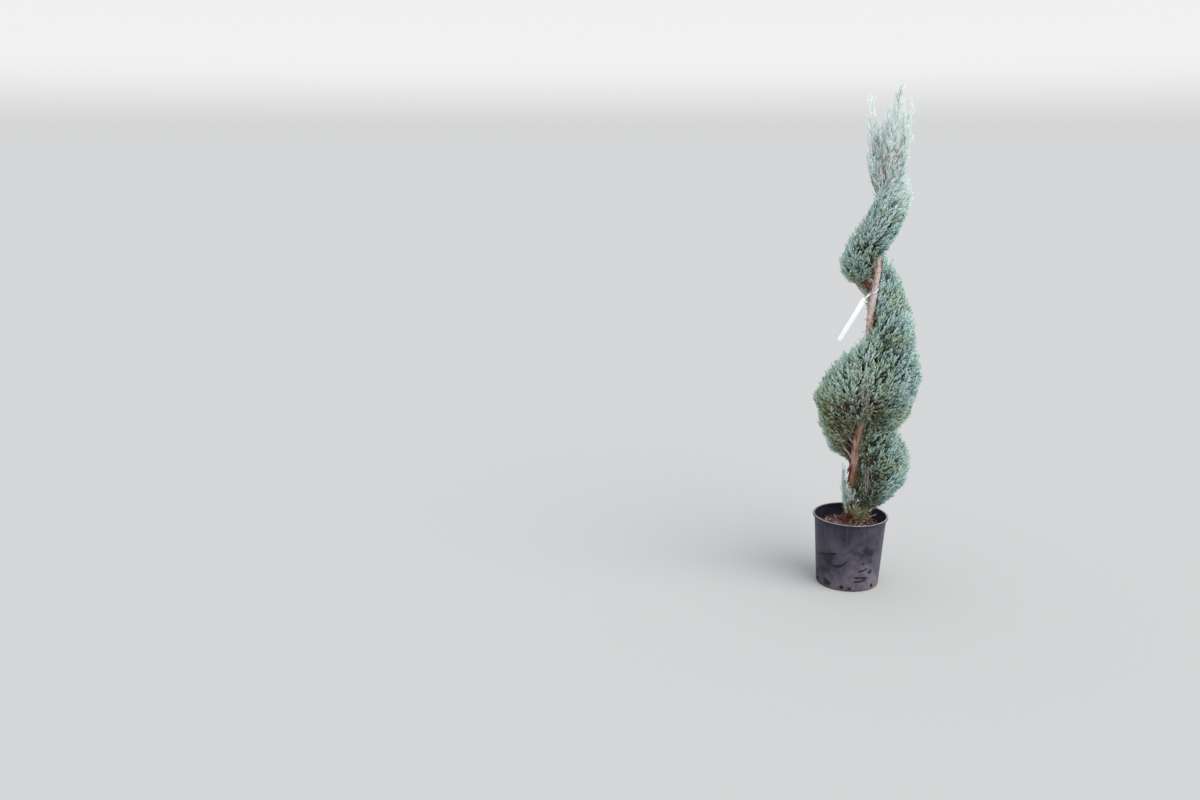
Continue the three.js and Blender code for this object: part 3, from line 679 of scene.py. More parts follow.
leaf_long = (11.0 - 4.0 * v_at) * r.uniform(0.75, 1.3, (M, J)) * np.clip(SP["long"][:, None] / 30, 0.5, 1.2) * (1 - 0.12 * slim_of)
leaf_wide = r.uniform(0.88, 1.22, (M, J)) * (1 - 0.36 * slim_of)  # half width
leaf_fold = unit(np.cross(leaf_way, side) + 0.5 * r.normal(0, 1, (M, J, 3)))

# the spray's own axis, clad in scale leaves: two overlapping lengths
ax0 = bezier2(P0, P1, P2, np.array([0.0, 0.42])[None, :, None])
ax1 = bezier2(P0, P1, P2, np.array([0.55, 1.12])[None, :, None])
axis_long = np.linalg.norm(ax1 - ax0, axis=-1)
axis_dir = unit(ax1 - ax0)
axis_fold = unit(np.cross(axis_dir, r.normal(0, 1, (M, 2, 3))))

# tone of each branchlet, from deep green (0) to pale (1), how blue it is, and its age, from young to old and brown
shoot_of = SP["shoot"]
tip_of = shoots["tip"][shoot_of]
under_of = np.clip(-shoots["normal"][shoot_of][:, 2], 0, 1)
worn_of = worn(shoots["tip"])[shoot_of]
rise_of = np.clip((shoots["tip"][:, 2] - 1150) / 600, 0, 1)
dead_of = shoots["dead"][shoot_of]
high_of = np.clip((shoots["tip"][:, 2] - 1250) / 260, 0, 1)
lift = np.zeros(N)  # some faces of the band are made paler; on the high band's left side, turned from the lamp, this is painted light
for name, more in (("foliage_mid_front", 0.16), ("foliage_low_left", 0.04), ("foliage_high_left", 0.13), ("foliage_high_front", 0.05)):
    lift[shoots["mass"] == MASSES.index(name)] = more
off = shoots["tip"] - trunk_at(shoots["tip"][:, 2])
# painted light: the high band's left side is made paler where the lamp leaves it darker
lift += 0.11 * np.clip((-15 - 0.973 * off[:, 0] - 0.232 * off[:, 1]) / 40, 0, 1) * np.clip((off[:, 2] + shoots["tip"][:, 2] - 1170) / 60, 0, 1) * np.clip((1500 - shoots["tip"][:, 2]) / 80, 0, 1)
tone_shoot = 0.66 + 0.10 * tints(shoots["tip"]) + r.normal(0, 0.08, N) + 0.04 * rise_of + 0.16 * high_of
# painted shade: a spray's tone drops the deeper it sits in the band, and on the next line on the band's underside
# (under_of); worn_of is old brown growth
tone_spray = tone_shoot[shoot_of] + lift[shoot_of] - 0.0235 * np.clip(SP["depth"] - 4, 0, 40) + 0.20 * (SP["s"] - 0.5)
tone_spray = tone_spray - 0.12 * under_of - 0.12 * worn_of + r.normal(0, 0.08, M)
blue_shoot = 0.48 + 0.30 * tints(shoots["tip"] + 900) + 0.35 * rise_of + 0.0006 * shoots["tip"][:, 0] + r.normal(0, 0.12, N)
sprig_of = (shoots["mass"] == MASSES.index("foliage_sprig")).astype(float)
foot_of = (shoots["mass"] == MASSES.index("foliage_foot")).astype(float)
blue_spray = blue_shoot[shoot_of] - 0.25 * worn_of - 0.15 * under_of + 0.9 * sprig_of[shoot_of] - 0.6 * foot_of[shoot_of]
old_spray = 0.012 * np.clip(SP["depth"] - 12, 0, 45) + 0.26 * under_of * (0.6 + 0.6 * speck(tip_of)) + 0.42 * worn_of
old_spray = old_spray - 0.30 * rise_of[shoot_of] + r.normal(0, 0.12, M) - 0.4 * sprig_of[shoot_of] + 0.24 * foot_of[shoot_of]
old_spray[SP["inner"]] += 0.25
# the pale tuft in front of the trunk: younger, paler growth, with painted light on top, since it stands in the shade of
# the masses to its right
pale_tuft_with_painted_light = (dead_of > 0.1) & (dead_of < 0.5)
old_spray = old_spray + 2.0 * (dead_of > 0.5) - 0.5 * pale_tuft_with_painted_light
# painted shade: the tone drops in the shaded hollow right of the trunk; the pale tuft's tone is raised as painted light
tone_spray = tone_spray + (0.16 * sprig_of + 0.44 * foot_of - 0.17 * shaded_hollow(shoots["tip"]) * (1 - foot_of))[shoot_of] + 0.34 * pale_tuft_with_painted_light
tone_leaf = tone_spray[:, None] + 0.54 * (v_at - 0.5) + r.normal(0, 0.07, (M, J))
tone_axis = tone_spray[:, None] + np.array([-0.18, 0.16])[None] + r.normal(0, 0.04, (M, 2))


def per_blade(value):
    return np.concatenate([np.repeat(value, J), np.repeat(value, 2)])


leaf_sets = {
    "at": np.concatenate([leaf_at.reshape(-1, 3), ax0.reshape(-1, 3)]),
    "way": np.concatenate([leaf_way.reshape(-1, 3), axis_dir.reshape(-1, 3)]),
    "fold": np.concatenate([leaf_fold.reshape(-1, 3), axis_fold.reshape(-1, 3)]),
    "long": np.concatenate([leaf_long.reshape(-1), axis_long.reshape(-1)]),
    "wide": np.concatenate([leaf_wide.reshape(-1), np.repeat(1.15 * (1 - 0.3 * slim_of[:, 0]), 2)]),
    "tone": np.concatenate([tone_leaf.reshape(-1), tone_axis.reshape(-1)]),
    "blue": per_blade(blue_spray), "old": per_blade(old_spray), "dead": per_blade(dead_of), "region": per_blade(shoots["region"][shoot_of])}

LEAF_KINDS = ["pale_blue", "pale_green", "mid_blue", "mid_green", "low_blue", "low_green", "deep", "olive", "straw", "brown", "rust", "silver"]
tone, old = leaf_sets["tone"], leaf_sets["old"]
rk = np.random.default_rng(914).random((3, len(tone)))
level = np.where(tone > 0.72, 0, np.where(tone > 0.54, 1, np.where(tone > 0.36, 2, 3)))
leaf_kind = np.where(level < 3, level * 2 + (leaf_sets["blue"] < 0.5), 6)
aged = (old > 0.30) & (rk[0] < 0.75)
leaf_kind[aged] = np.where(tone[aged] > 0.52, 8, 7)
leaf_kind[(old > 0.58) & (rk[1] < 0.5)] = 9
leaf_kind[(tone > 1.00) & (old < 0.3)] = 11
leaf_kind[per_blade(pale_tuft_with_painted_light) & (tone > 0.5)] = 11
leaf_kind[leaf_sets["dead"] > 0.5] = 10

# the band's colours pass into the tip's over 300 mm, shoot by shoot
draw = np.random.default_rng(915).random(N)
tip_share = np.clip((shoots["tip"][:, 2] - 1420) / 300, 0, 1)
pale_shoot = draw < tip_share
leaf_kind[per_blade(pale_shoot[shoot_of]) & (tone > 0.86) & (old < 0.3)] = 11
leaf_sets["region"] = np.where(per_blade(pale_shoot[shoot_of]), 3, np.minimum(leaf_sets["region"], 2))


# ------------------------------------------------------------------ materials
def material(name, color, roughness=0.6, specular=0.35, sheen=0.0, sheen_tint=(1, 1, 1)):
    m = bpy.data.materials.new(name)
    m.use_nodes = True
    b = m.node_tree.nodes["Principled BSDF"]
    b.inputs["Base Color"].default_value = (*color, 1)
    b.inputs["Roughness"].default_value = roughness
    b.inputs["Specular IOR Level"].default_value = specular
    if sheen:
        b.inputs["Sheen Weight"].default_value = sheen
        b.inputs["Sheen Roughness"].default_value = 0.5
        b.inputs["Sheen Tint"].default_value = (*sheen_tint, 1)
    return m


def srgb(r, g, b):
    return tuple(((c / 255 + 0.055) / 1.055) ** 2.4 if c / 255 > 0.04045 else c / 255 / 12.92 for c in (r, g, b))


# The darker kinds, low_blue, low_green and above all the near-black deep, are the same foliage given painted shade: the
# tone that picks them drops deep in the band, under it and in the shaded hollow.
LEAF_COLORS = {
    "silver": srgb(228, 241, 236), "pale_blue": srgb(208, 231, 227), "pale_green": srgb(210, 229, 208), "mid_blue": srgb(170, 201, 196),
    "mid_green": srgb(163, 188, 165), "low_blue": srgb(117, 149, 142), "low_green": srgb(108, 134, 107),
    "deep": srgb(42, 57, 42), "olive": srgb(92, 97, 56), "straw": srgb(166, 157, 110), "brown": srgb(108, 76, 54),
    "rust": srgb(136, 76, 46)}
TIP_COLORS = {  # the young growth of the open tip is paler, and its colours are lightened further as painted light for the bright, sky-lit tip
    "silver": srgb(241, 250, 246), "pale_blue": srgb(231, 245, 241), "pale_green": srgb(230, 244, 234), "mid_blue": srgb(217, 237, 232),
    "mid_green": srgb(209, 231, 219), "low_blue": srgb(176, 203, 198), "low_green": srgb(162, 189, 175),
    "deep": srgb(88, 111, 103), "olive": srgb(146, 144, 118), "straw": srgb(196, 188, 158), "brown": srgb(156, 128, 122),
    "rust": srgb(118, 64, 42)}
tip_materials = {k: material("leaf_tip_" + k, c, 0.62, 0.3, 0.12, (0.95, 0.97, 1.0)) for k, c in TIP_COLORS.items()}
leaf_materials = {k: material("leaf_" + k, c, 0.62, 0.3, 0.12, (0.85, 0.95, 1.0)) for k, c in LEAF_COLORS.items()}


def mesh_from(name, points, faces, smooth=False):
    """A mesh of triangles or of quads from arrays in millimetres."""
    me = bpy.data.meshes.new(name)
    points = np.asarray(points, np.float32) * MM
    faces = np.asarray(faces, np.int32)
    k = faces.shape[1]
    me.vertices.add(len(points))
    me.vertices.foreach_set("co", points.ravel())
    me.loops.add(faces.size)
    me.loops.foreach_set("vertex_index", faces.ravel())
    me.polygons.add(len(faces))
    me.polygons.foreach_set("loop_start", np.arange(0, faces.size, k, dtype=np.int32))
    me.polygons.foreach_set("loop_total", np.full(len(faces), k, np.int32))
    me.polygons.foreach_set("use_smooth", np.full(len(faces), smooth))
    me.update(calc_edges=True)
    o = bpy.data.objects.new(name, me)
    bpy.context.scene.collection.objects.link(o)
    return o


ROOM_LOW = np.array(CAD_BOX[0]) * 1000 - np.array([17.0, 17.0, 0.0])
ROOM_HIGH = np.array(CAD_BOX[1]) * 1000 + np.array([17.0, 17.0, 50.0])


def blades(at, way, fold, long, wide):
    """Folded blades of two triangles: the midrib, and a raised corner on each side."""
    n = len(at)
    across = unit(np.cross(way, fold))
    mid = at + way * (long * 0.42)[:, None] + fold * (wide * 0.55)[:, None]
    points = np.stack([at, mid + across * wide[:, None], at + way * long[:, None], mid - across * wide[:, None]], 1)
    fits = ((points > ROOM_LOW) & (points < ROOM_HIGH)).all((1, 2))
    points = points[fits]
    n = len(points)
    k = np.arange(n)[:, None] * 4
    faces = np.concatenate([k + np.array([[0, 1, 2]]), k + np.array([[0, 2, 3]])], 1).reshape(-1, 3)
    return points.reshape(-1, 3), faces


def finish_piece(o, mat, slot, *nodes):
    o.data.materials.clear()
    o.data.materials.append(mat)
    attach(o, "root")
    if nodes:
        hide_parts(*nodes)
    return o


totals = {}
for number, (region, names) in enumerate(REGIONS.items()):
    for k, kind in enumerate(LEAF_KINDS):
        pick = (leaf_sets["region"] == number) & (leaf_kind == k)
        if not pick.any():
            continue
        pts, tris = blades(*(leaf_sets[w][pick] for w in ("at", "way", "fold", "long", "wide")))
        parts = max(1, math.ceil(len(tris) / 190000))
        edge = np.linspace(0, len(tris) // 2, parts + 1).astype(int)
        for i in range(parts):
            a, b = edge[i], edge[i + 1]
            o = mesh_from(f"leaves_{region}_{kind}" + (f"_{i + 1}" if parts > 1 else ""), pts[4 * a:4 * b],
                          tris[2 * a:2 * b] - 4 * a)
            finish_piece(o, (tip_materials if region == "top" else leaf_materials)[kind], "foliage", *names)
            totals[o.name] = len(o.data.polygons)


# ------------------------------------------------------------------ twigs
def tubes(runs, radii, sides):
    """Round tubes along polylines, closed at both ends; runs and radii are lists of arrays."""
    pts, tris, base = [], [], 0
    ang = np.arange(sides) / sides * TAU
    for run, rad in zip(runs, radii):
        n = len(run)
        ways = unit(np.gradient(run, axis=0))
        u, v = sides_of(ways)
        ring = run[:, None] + rad[:, None, None] * (np.cos(ang)[None, :, None] * u[:, None] + np.sin(ang)[None, :, None] * v[:, None])
        pts.append(ring.reshape(-1, 3))
        i, j = np.meshgrid(np.arange(n - 1), np.arange(sides), indexing="ij")
        a = base + i * sides + j
        b = base + i * sides + (j + 1) % sides
        tris.append(np.stack([a, b, b + sides], -1).reshape(-1, 3))
        tris.append(np.stack([a, b + sides, a + sides], -1).reshape(-1, 3))
        for ring_start, flip in ((base, True), (base + (n - 1) * sides, False)):
            for t in range(1, sides - 1):
                tri = [ring_start, ring_start + t, ring_start + t + 1]
                tris.append(np.array([tri[::-1] if flip else tri]))
        base += n * sides
    return np.concatenate(pts), np.concatenate(tris)


at = np.array(wood.at[:used])
pipe = 0.62 * np.maximum(load, 1) ** 0.42
twig_runs, twig_radii, twig_region = [], [], []
for kind, run in wood.runs:
    if kind == "bough" or kind == "leader":
        continue
    run = np.array(run)
    if load[run[-1]] == 0:
        carried = np.nonzero(load[run] > 0)[0]
        if len(carried) == 0:
            continue
        run = run[:carried[-1] + 2]
    if len(run) < 2:
        continue
    if kind == "twig" and at[run][:, 2].max() < 1560 and depth_out(at[run]).max() > 9.0 and at[run][:, 2].min() > 430:
        continue
    if kind == "twig" and at[run][:, 0].min() < -46 and at[run][:, 2].max() < 470:
        continue
    rad = pipe[run].copy()
    rad[0] = min(rad[0], rad[1] * 1.35)
    if kind == "limb":
        top_limb = at[run][:, 2].max() > 1700
        rad = np.maximum(0.8 * rad, np.linspace(2.2, 0.7, len(run))) if top_limb else np.maximum(rad, np.linspace(3.4, 1.2, len(run)))
    twig_runs.append(at[run])
    twig_radii.append(rad)
    z_mid = at[run][:, 2].mean()
    twig_region.append(3 if z_mid > 1600 else 2 if z_mid > 1180 else 1 if z_mid > 800 else 0)
stem_t = np.linspace(0, 0.93, 4)
for k in range(count):
    pts = bezier2(stem_a[k][None], stem_b[k][None], tip[k][None], stem_t[:, None])
    twig_runs.append(pts)
    twig_radii.append(np.linspace(0.85, 0.4, 4))
    twig_region.append(int(shoots["region"][k]))
r = np.random.default_rng(77)
for _ in range(16):
    start = np.array([r.uniform(34, 66), r.uniform(-34, 2), r.uniform(392, 440)])
    t = np.linspace(0, 1, 5)[:, None]
    twig_runs.append(start + t * np.array([r.uniform(-4, 9), r.uniform(-8, 8), r.uniform(58, 104)]) + r.normal(0, 0.9, (5, 3)))
    twig_radii.append(np.linspace(1.0, 0.6, 5))
    twig_region.append(0)


def front_of(x, z):
    """How far forward the foliage reaches at a place; the trunk's face where there is none."""
    ys = np.linspace(-230, 12, 122)
    hit = depth_out(np.stack([np.full(122, x), ys, np.full(122, z)], -1)) < 1.0
    return float(ys[hit.argmax()]) if hit.any() else 12.0


# bare pale twigs on the face of the band, among the dark growth, and one long one under its left side
faces = [(r.uniform(12, 44), r.uniform(735, 805), r.uniform(-12, 8), r.uniform(45, 90), 0.9, 0.5, 1) for _ in range(13)]
faces += [(r.uniform(30, 62), r.uniform(385, 430), r.uniform(-4, 8), r.uniform(50, 95), 0.9, 0.5, 1) for _ in range(10)]
faces += [(-9.0, 509.0, -66.0, 101.0, 2.2, 1.1, 2), (-52.0, 574.0, -26.0, 18.0, 1.1, 0.6, 1)]
for x0, z0, dx, dz, r0, r1, bend in faces:
    t = np.linspace(0, 1, 9)
    xs, zs = x0 + dx * t, z0 + dz * (0.8 * t + 0.2 * t * t)
    ys = np.polyval(np.polyfit(t, [front_of(a, b) for a, b in zip(xs, zs)], bend), t) - 2.0
    twig_runs.append(np.stack([xs, ys, zs], -1) + r.normal(0, 0.5, (9, 3)))
    twig_radii.append(np.linspace(r0, r1, 9))
    twig_region.append(3)
twig_region = np.array(twig_region)
bark_twig = material("twig_bark", srgb(138, 110, 98), 0.8, 0.2)
plume_twig = material("twig_bark_young", srgb(190, 166, 166), 0.8, 0.2)
for number, (region, names) in enumerate(REGIONS.items()):
    pick = np.nonzero(twig_region == number)[0]
    pts, tris = tubes([twig_runs[i] for i in pick], [twig_radii[i] for i in pick], 3)
    o = mesh_from(f"twigs_{region}", pts, tris)
    finish_piece(o, plume_twig if region == "top" else bark_twig, "bark")
    totals[o.name] = len(o.data.polygons)
print("TOTAL", sum(totals.values()), "sprays", M, "shoots", count)

# ------------------------------------------------------------------ node materials for the wood, pot, mix and tag
class Nodes:
    """A short way to write a node tree."""

    def __init__(self, name, roughness=0.7, specular=0.3):
        self.m = bpy.data.materials.new(name)
        self.m.use_nodes = True
        self.t = self.m.node_tree
        self.b = self.t.nodes["Principled BSDF"]
        self.b.inputs["Roughness"].default_value = roughness
        self.b.inputs["Specular IOR Level"].default_value = specular
        coord = self.t.nodes.new("ShaderNodeTexCoord")
        self.object = coord.outputs["Object"]
        split = self.t.nodes.new("ShaderNodeSeparateXYZ")
        self.t.links.new(self.object, split.inputs[0])
        self.x, self.y, self.z = split.outputs

    def put(self, socket, value):
        if isinstance(value, bpy.types.NodeSocket):
            self.t.links.new(value, socket)
        else:
            socket.default_value = value

    def math(self, operation, a, b=0.0, c=0.0, clamp=False):
        n = self.t.nodes.new("ShaderNodeMath")
        n.operation = operation
        n.use_clamp = clamp
        for k, v in enumerate((a, b, c)):
            if k < len(n.inputs):
                self.put(n.inputs[k], v)
        return n.outputs[0]

    def scaled(self, vector, scale):
        n = self.t.nodes.new("ShaderNodeVectorMath")
        n.operation = "MULTIPLY"
        self.put(n.inputs[0], vector)
        n.inputs[1].default_value = scale
        return n.outputs[0]

    def vector(self, x, y, z):
        n = self.t.nodes.new("ShaderNodeCombineXYZ")
        for k, v in enumerate((x, y, z)):
            self.put(n.inputs[k], v)
        return n.outputs[0]

    def noise(self, scale, vector=None, detail=4.0, rough=0.6, distort=0.0):
        n = self.t.nodes.new("ShaderNodeTexNoise")
        self.put(n.inputs["Vector"], self.object if vector is None else vector)
        n.inputs["Scale"].default_value = scale
        n.inputs["Detail"].default_value = detail
        n.inputs["Roughness"].default_value = rough
        n.inputs["Distortion"].default_value = distort
        return n.outputs[0]

    def ramp(self, value, *stops):
        n = self.t.nodes.new("ShaderNodeValToRGB")
        self.put(n.inputs[0], value)
        e = n.color_ramp.elements
        while len(e) < len(stops):
            e.new(0.5)
        for k, (at, color) in enumerate(stops):
            e[k].position = at
            e[k].color = (*color, 1) if not isinstance(color, (int, float)) else (color, color, color, 1)
        return n.outputs[0]

    def map(self, value, low, high, to_low=0.0, to_high=1.0):
        n = self.t.nodes.new("ShaderNodeMapRange")
        self.put(n.inputs[0], value)
        n.inputs[1].default_value, n.inputs[2].default_value = low, high
        n.inputs[3].default_value, n.inputs[4].default_value = to_low, to_high
        return n.outputs[0]

    def mix(self, factor, a, b, blend="MIX"):
        n = self.t.nodes.new("ShaderNodeMix")
        n.data_type = "RGBA"
        n.blend_type = blend
        self.put(n.inputs[0], factor)
        for socket, v in ((n.inputs[6], a), (n.inputs[7], b)):
            self.put(socket, v if isinstance(v, bpy.types.NodeSocket) else (*v, 1))
        return n.outputs[2]

    def color(self, value):
        self.put(self.b.inputs["Base Color"], value)

    def rough(self, value):
        self.put(self.b.inputs["Roughness"], value)

    def bump(self, height, strength, distance):
        n = self.t.nodes.new("ShaderNodeBump")
        n.inputs["Strength"].default_value = strength
        n.inputs["Distance"].default_value = distance
        self.put(n.inputs["Height"], height)
        self.t.links.new(n.outputs[0], self.b.inputs["Normal"])


def bark_material(name, dark, warm, pale, pale_share, grey_top=True):
    k = Nodes(name, 0.88, 0.2)
    strips = k.noise(1.0, k.scaled(k.object, (210, 210, 16)), 5, 0.65, 0.6)
    patches = k.noise(1.0, k.scaled(k.object, (70, 70, 22)), 3, 0.55)
    fine = k.noise(1.0, k.scaled(k.object, (620, 620, 60)), 3, 0.6)
    color = k.ramp(strips, (0.38, dark), (0.46, warm), (0.55, warm), (0.64, pale))
    color = k.mix(k.map(patches, 0.60 - pale_share * 0.3, 0.72 - pale_share * 0.3, 0, 0.75), color, pale)
    rust = k.map(k.noise(1.0, k.scaled(k.object, (45, 45, 20)), 2), 0.47, 0.57, 0, 0.7)
    low = k.math("MULTIPLY", k.map(k.z, 0.438, 0.456, 1.0, 0.04), k.map(k.z, 0.30, 0.34, 0.2, 1.0))
    color = k.mix(k.math("MULTIPLY", rust, low), color, srgb(166, 102, 60))
    bare = k.map(k.math("ABSOLUTE", k.math("SUBTRACT", k.x, 0.0125)), 0.007, 0.014, 1.0, 0.0)
    bare = k.math("MULTIPLY", bare, k.map(k.math("ABSOLUTE", k.math("SUBTRACT", k.z, 0.412)), 0.026, 0.044, 1.0, 0.0))
    color = k.mix(k.math("MULTIPLY", bare, k.map(strips, 0.40, 0.52, 0.35, 0.85)), color, srgb(178, 108, 54))
    color = k.mix(k.map(k.z, 0.345, 0.320, 0.0, 0.84), color, srgb(94, 48, 46))
    if grey_top:
        # higher up the bark is young: grey with a pink tinge, in small flakes that part across the trunk
        flakes = k.noise(1.0, k.scaled(k.object, (120, 120, 95)), 4, 0.6, 0.8)
        young = k.ramp(flakes, (0.34, srgb(112, 84, 80)), (0.44, srgb(190, 154, 146)), (0.56, srgb(220, 190, 182)), (0.70, srgb(236, 220, 216)))
        worn_patch = k.noise(1.0, k.scaled(k.object, (30, 30, 14)), 2, 0.5)
        young = k.mix(k.map(worn_patch, 0.44, 0.60, 0.0, 0.75), young, srgb(214, 200, 200))
        lines = k.noise(1.0, k.scaled(k.object, (26, 26, 330)), 3, 0.6)
        young = k.mix(k.map(lines, 0.60, 0.68, 0.0, 0.7), young, srgb(112, 78, 72))
        color = k.mix(k.map(k.z, 0.62, 0.96, 0.0, 1.0), color, young)
        color = k.mix(k.map(k.z, 1.45, 1.65, 0.0, 0.85), color, srgb(196, 176, 178))
    color = k.mix(k.map(fine, 0.35, 0.62, 0.24, 0.0), color, dark)
    k.color(color)
    k.bump(k.math("ADD", strips, k.math("MULTIPLY", fine, 0.4)), 0.7, 0.0016)
    return k.m


bark = bark_material("bark", srgb(62, 40, 34), srgb(166, 122, 102), srgb(224, 192, 176), 0.60)
bark_limb = bark_material("bark_limb", srgb(92, 72, 60), srgb(158, 130, 108), srgb(200, 180, 160), 0.6, False)
shred_warm = bark_material("bark_shreds_warm", srgb(104, 68, 56), srgb(172, 126, 104), srgb(214, 178, 158), 0.4)
shred_dark = bark_material("bark_shreds_dark", srgb(52, 30, 26), srgb(104, 62, 50), srgb(140, 96, 80), 0.2)
shred_pale = bark_material("bark_shreds_pale", srgb(140, 108, 94), srgb(200, 170, 152), srgb(230, 210, 198), 0.6)

# ------------------------------------------------------------------ trunk with its bark's relief
strand = Lattice(31, 3.4)
plate = Lattice(32, 8.5)
flute = Lattice(33, 26.0)


def bark_height(angle, run, radius, seed=0.0):
    """Relief of shredding bark in mm: long ridges and furrows that wander as they rise."""
    wander = angle + 0.22 * flute(np.stack([np.cos(angle) * 9, np.sin(angle) * 9, run / 2.6 + seed], -1))
    ring = np.stack([np.cos(wander) * radius, np.sin(wander) * radius, run / 16 + seed], -1)
    ridges = 1 - 2 * np.abs(strand(ring))
    plates = plate(np.stack([ring[..., 0], ring[..., 1], run / 11 + seed], -1))
    flutes = flute(np.stack([ring[..., 0] * 2, ring[..., 1] * 2, run / 3 + seed], -1))
    young = np.clip((run - 430) / 250, 0, 1)
    knobs = plate(np.stack([ring[..., 0] * 0.9, ring[..., 1] * 0.9, run / 2.2 + seed + 9], -1))
    rings_ = -np.clip(np.abs(strand(np.stack([ring[..., 0] / 9, ring[..., 1] / 9, run / 2.6 + seed], -1))) < 0.07, 0, 1)
    return (1.25 * ridges + 1.3 * plates) * (1 - 0.78 * young) + young * (1.5 * knobs + 0.55 * rings_) + 0.8 * flutes


def tube_mesh(name, centre, radius, sides, relief, seed, flare=None, cap=True):
    """A tube round a centre line, its surface raised by the bark's relief."""
    centre = np.asarray(centre, float)
    n = len(centre)
    way = unit(np.gradient(centre, axis=0))
    u = np.zeros((n, 3))
    first = np.cross(UP, way[0]) if abs(way[0][2]) < 0.95 else np.array([1.0, 0, 0])
    u[0] = unit((first - dot(first, way[0]) * way[0])[None])[0]
    for i in range(1, n):
        u[i] = unit((u[i - 1] - dot(u[i - 1], way[i]) * way[i])[None])[0]
    v = np.cross(way, u)
    run = np.concatenate([[0], np.cumsum(np.linalg.norm(np.diff(centre, axis=0), axis=1))])
    angle = np.arange(sides) / sides * TAU
    A, R = np.meshgrid(angle, run)
    height = bark_height(A, R, np.maximum(radius[:, None], 3.0), seed) * relief[:, None]
    out = radius[:, None] + height
    if flare is not None:
        out = out + flare(A, centre[:, 2][:, None])
    out = np.maximum(out, 0.25 * radius[:, None])
    pts = centre[:, None] + out[..., None] * (np.cos(A)[..., None] * u[:, None] + np.sin(A)[..., None] * v[:, None])
    pts = pts.reshape(-1, 3)
    i, j = np.meshgrid(np.arange(n - 1), np.arange(sides), indexing="ij")
    a, b = i * sides + j, i * sides + (j + 1) % sides
    tris = np.concatenate([np.stack([a, b, b + sides], -1).reshape(-1, 3), np.stack([a, b + sides, a + sides], -1).reshape(-1, 3)])
    if cap:
        pts = np.concatenate([pts, centre[:1] - way[:1] * 0.0, centre[-1:] + way[-1:] * radius[-1] * 0.3])
        k = np.arange(sides)
        tris = np.concatenate([tris, np.stack([(k + 1) % sides, k, np.full(sides, len(pts) - 2)], -1),
                               np.stack([(n - 1) * sides + k, (n - 1) * sides + (k + 1) % sides, np.full(sides, len(pts) - 1)], -1)])
    return mesh_from(name, pts, tris, True)


def trunk_flare(angle, z):
    lobe = 1 + 0.45 * np.cos(FLARE_LOBES * angle + 0.7)
    bulge = 5.5 * np.clip(np.cos(angle - 0.2), 0, 1) ** 1.5 * np.exp(-(((z - 412) / 42) ** 2))  # loose bark to the right
    return FLARE * np.clip(1 - (z - TRUNK_FOOT) / FLARE_HEIGHT, 0, 1) ** 2 * lobe * 0.9 + bulge


z_rows = np.concatenate([np.arange(238.4, 530, 3.0), np.arange(530, 925, 12.0), np.arange(925, 1275, 3.4), np.arange(1275, 1650, 12.0),
                         np.arange(1650, 1896, 7.0)])
centre = trunk_at(z_rows)
radius = (trunk_radius(z_rows) + 1.8 * np.clip((600 - z_rows) / 60, 0, 1) * np.clip((z_rows - 330) / 40, 0, 1)) * np.clip((1905 - z_rows) / 160, 0.25, 1) ** 0.4
centre[:, 0] += 0.9 * np.sin(z_rows / 37.0)
centre[:, 1] += 0.9 * np.cos(z_rows / 29.0)
trunk = tube_mesh("trunk_bark", centre, radius, 56, np.clip(radius / 12.0, 0.15, 1.15), 0.0, trunk_flare)
finish_piece(trunk, bark, "bark", "trunk")

for number, (name, (leaves, turn, reach, rise, thick)) in enumerate(BOUGHS.items()):
    a = float(bearing(turn))
    t = np.linspace(0.0, 1.0, 46)
    pts = trunk_at(leaves) + np.stack([np.cos(a) * reach * t, np.sin(a) * reach * t, rise * (0.62 * t + 0.38 * t * t)], -1)
    wander = np.stack([np.sin(t * 7 + number), np.cos(t * 6 + 2 * number), np.sin(t * 5 + number)], -1)
    pts = pts + wander * 1.6 * np.clip(t * 4, 0, 1)[:, None]
    rad = thick * (1.15 + (0.5 - 1.15) * np.sqrt(t)) * (1 + 0.35 * np.clip(1 - t * 9, 0, 1) ** 2)
    rad = rad * (1 + 0.05 * np.sin(t * 31 + number))
    o = tube_mesh(name.replace("bough", "limb"), pts, rad, 16, np.clip(rad / 15, 0.1, 0.6), 40.0 * number)
    finish_piece(o, bark_limb if thick < 5.5 else bark, "bark", name)


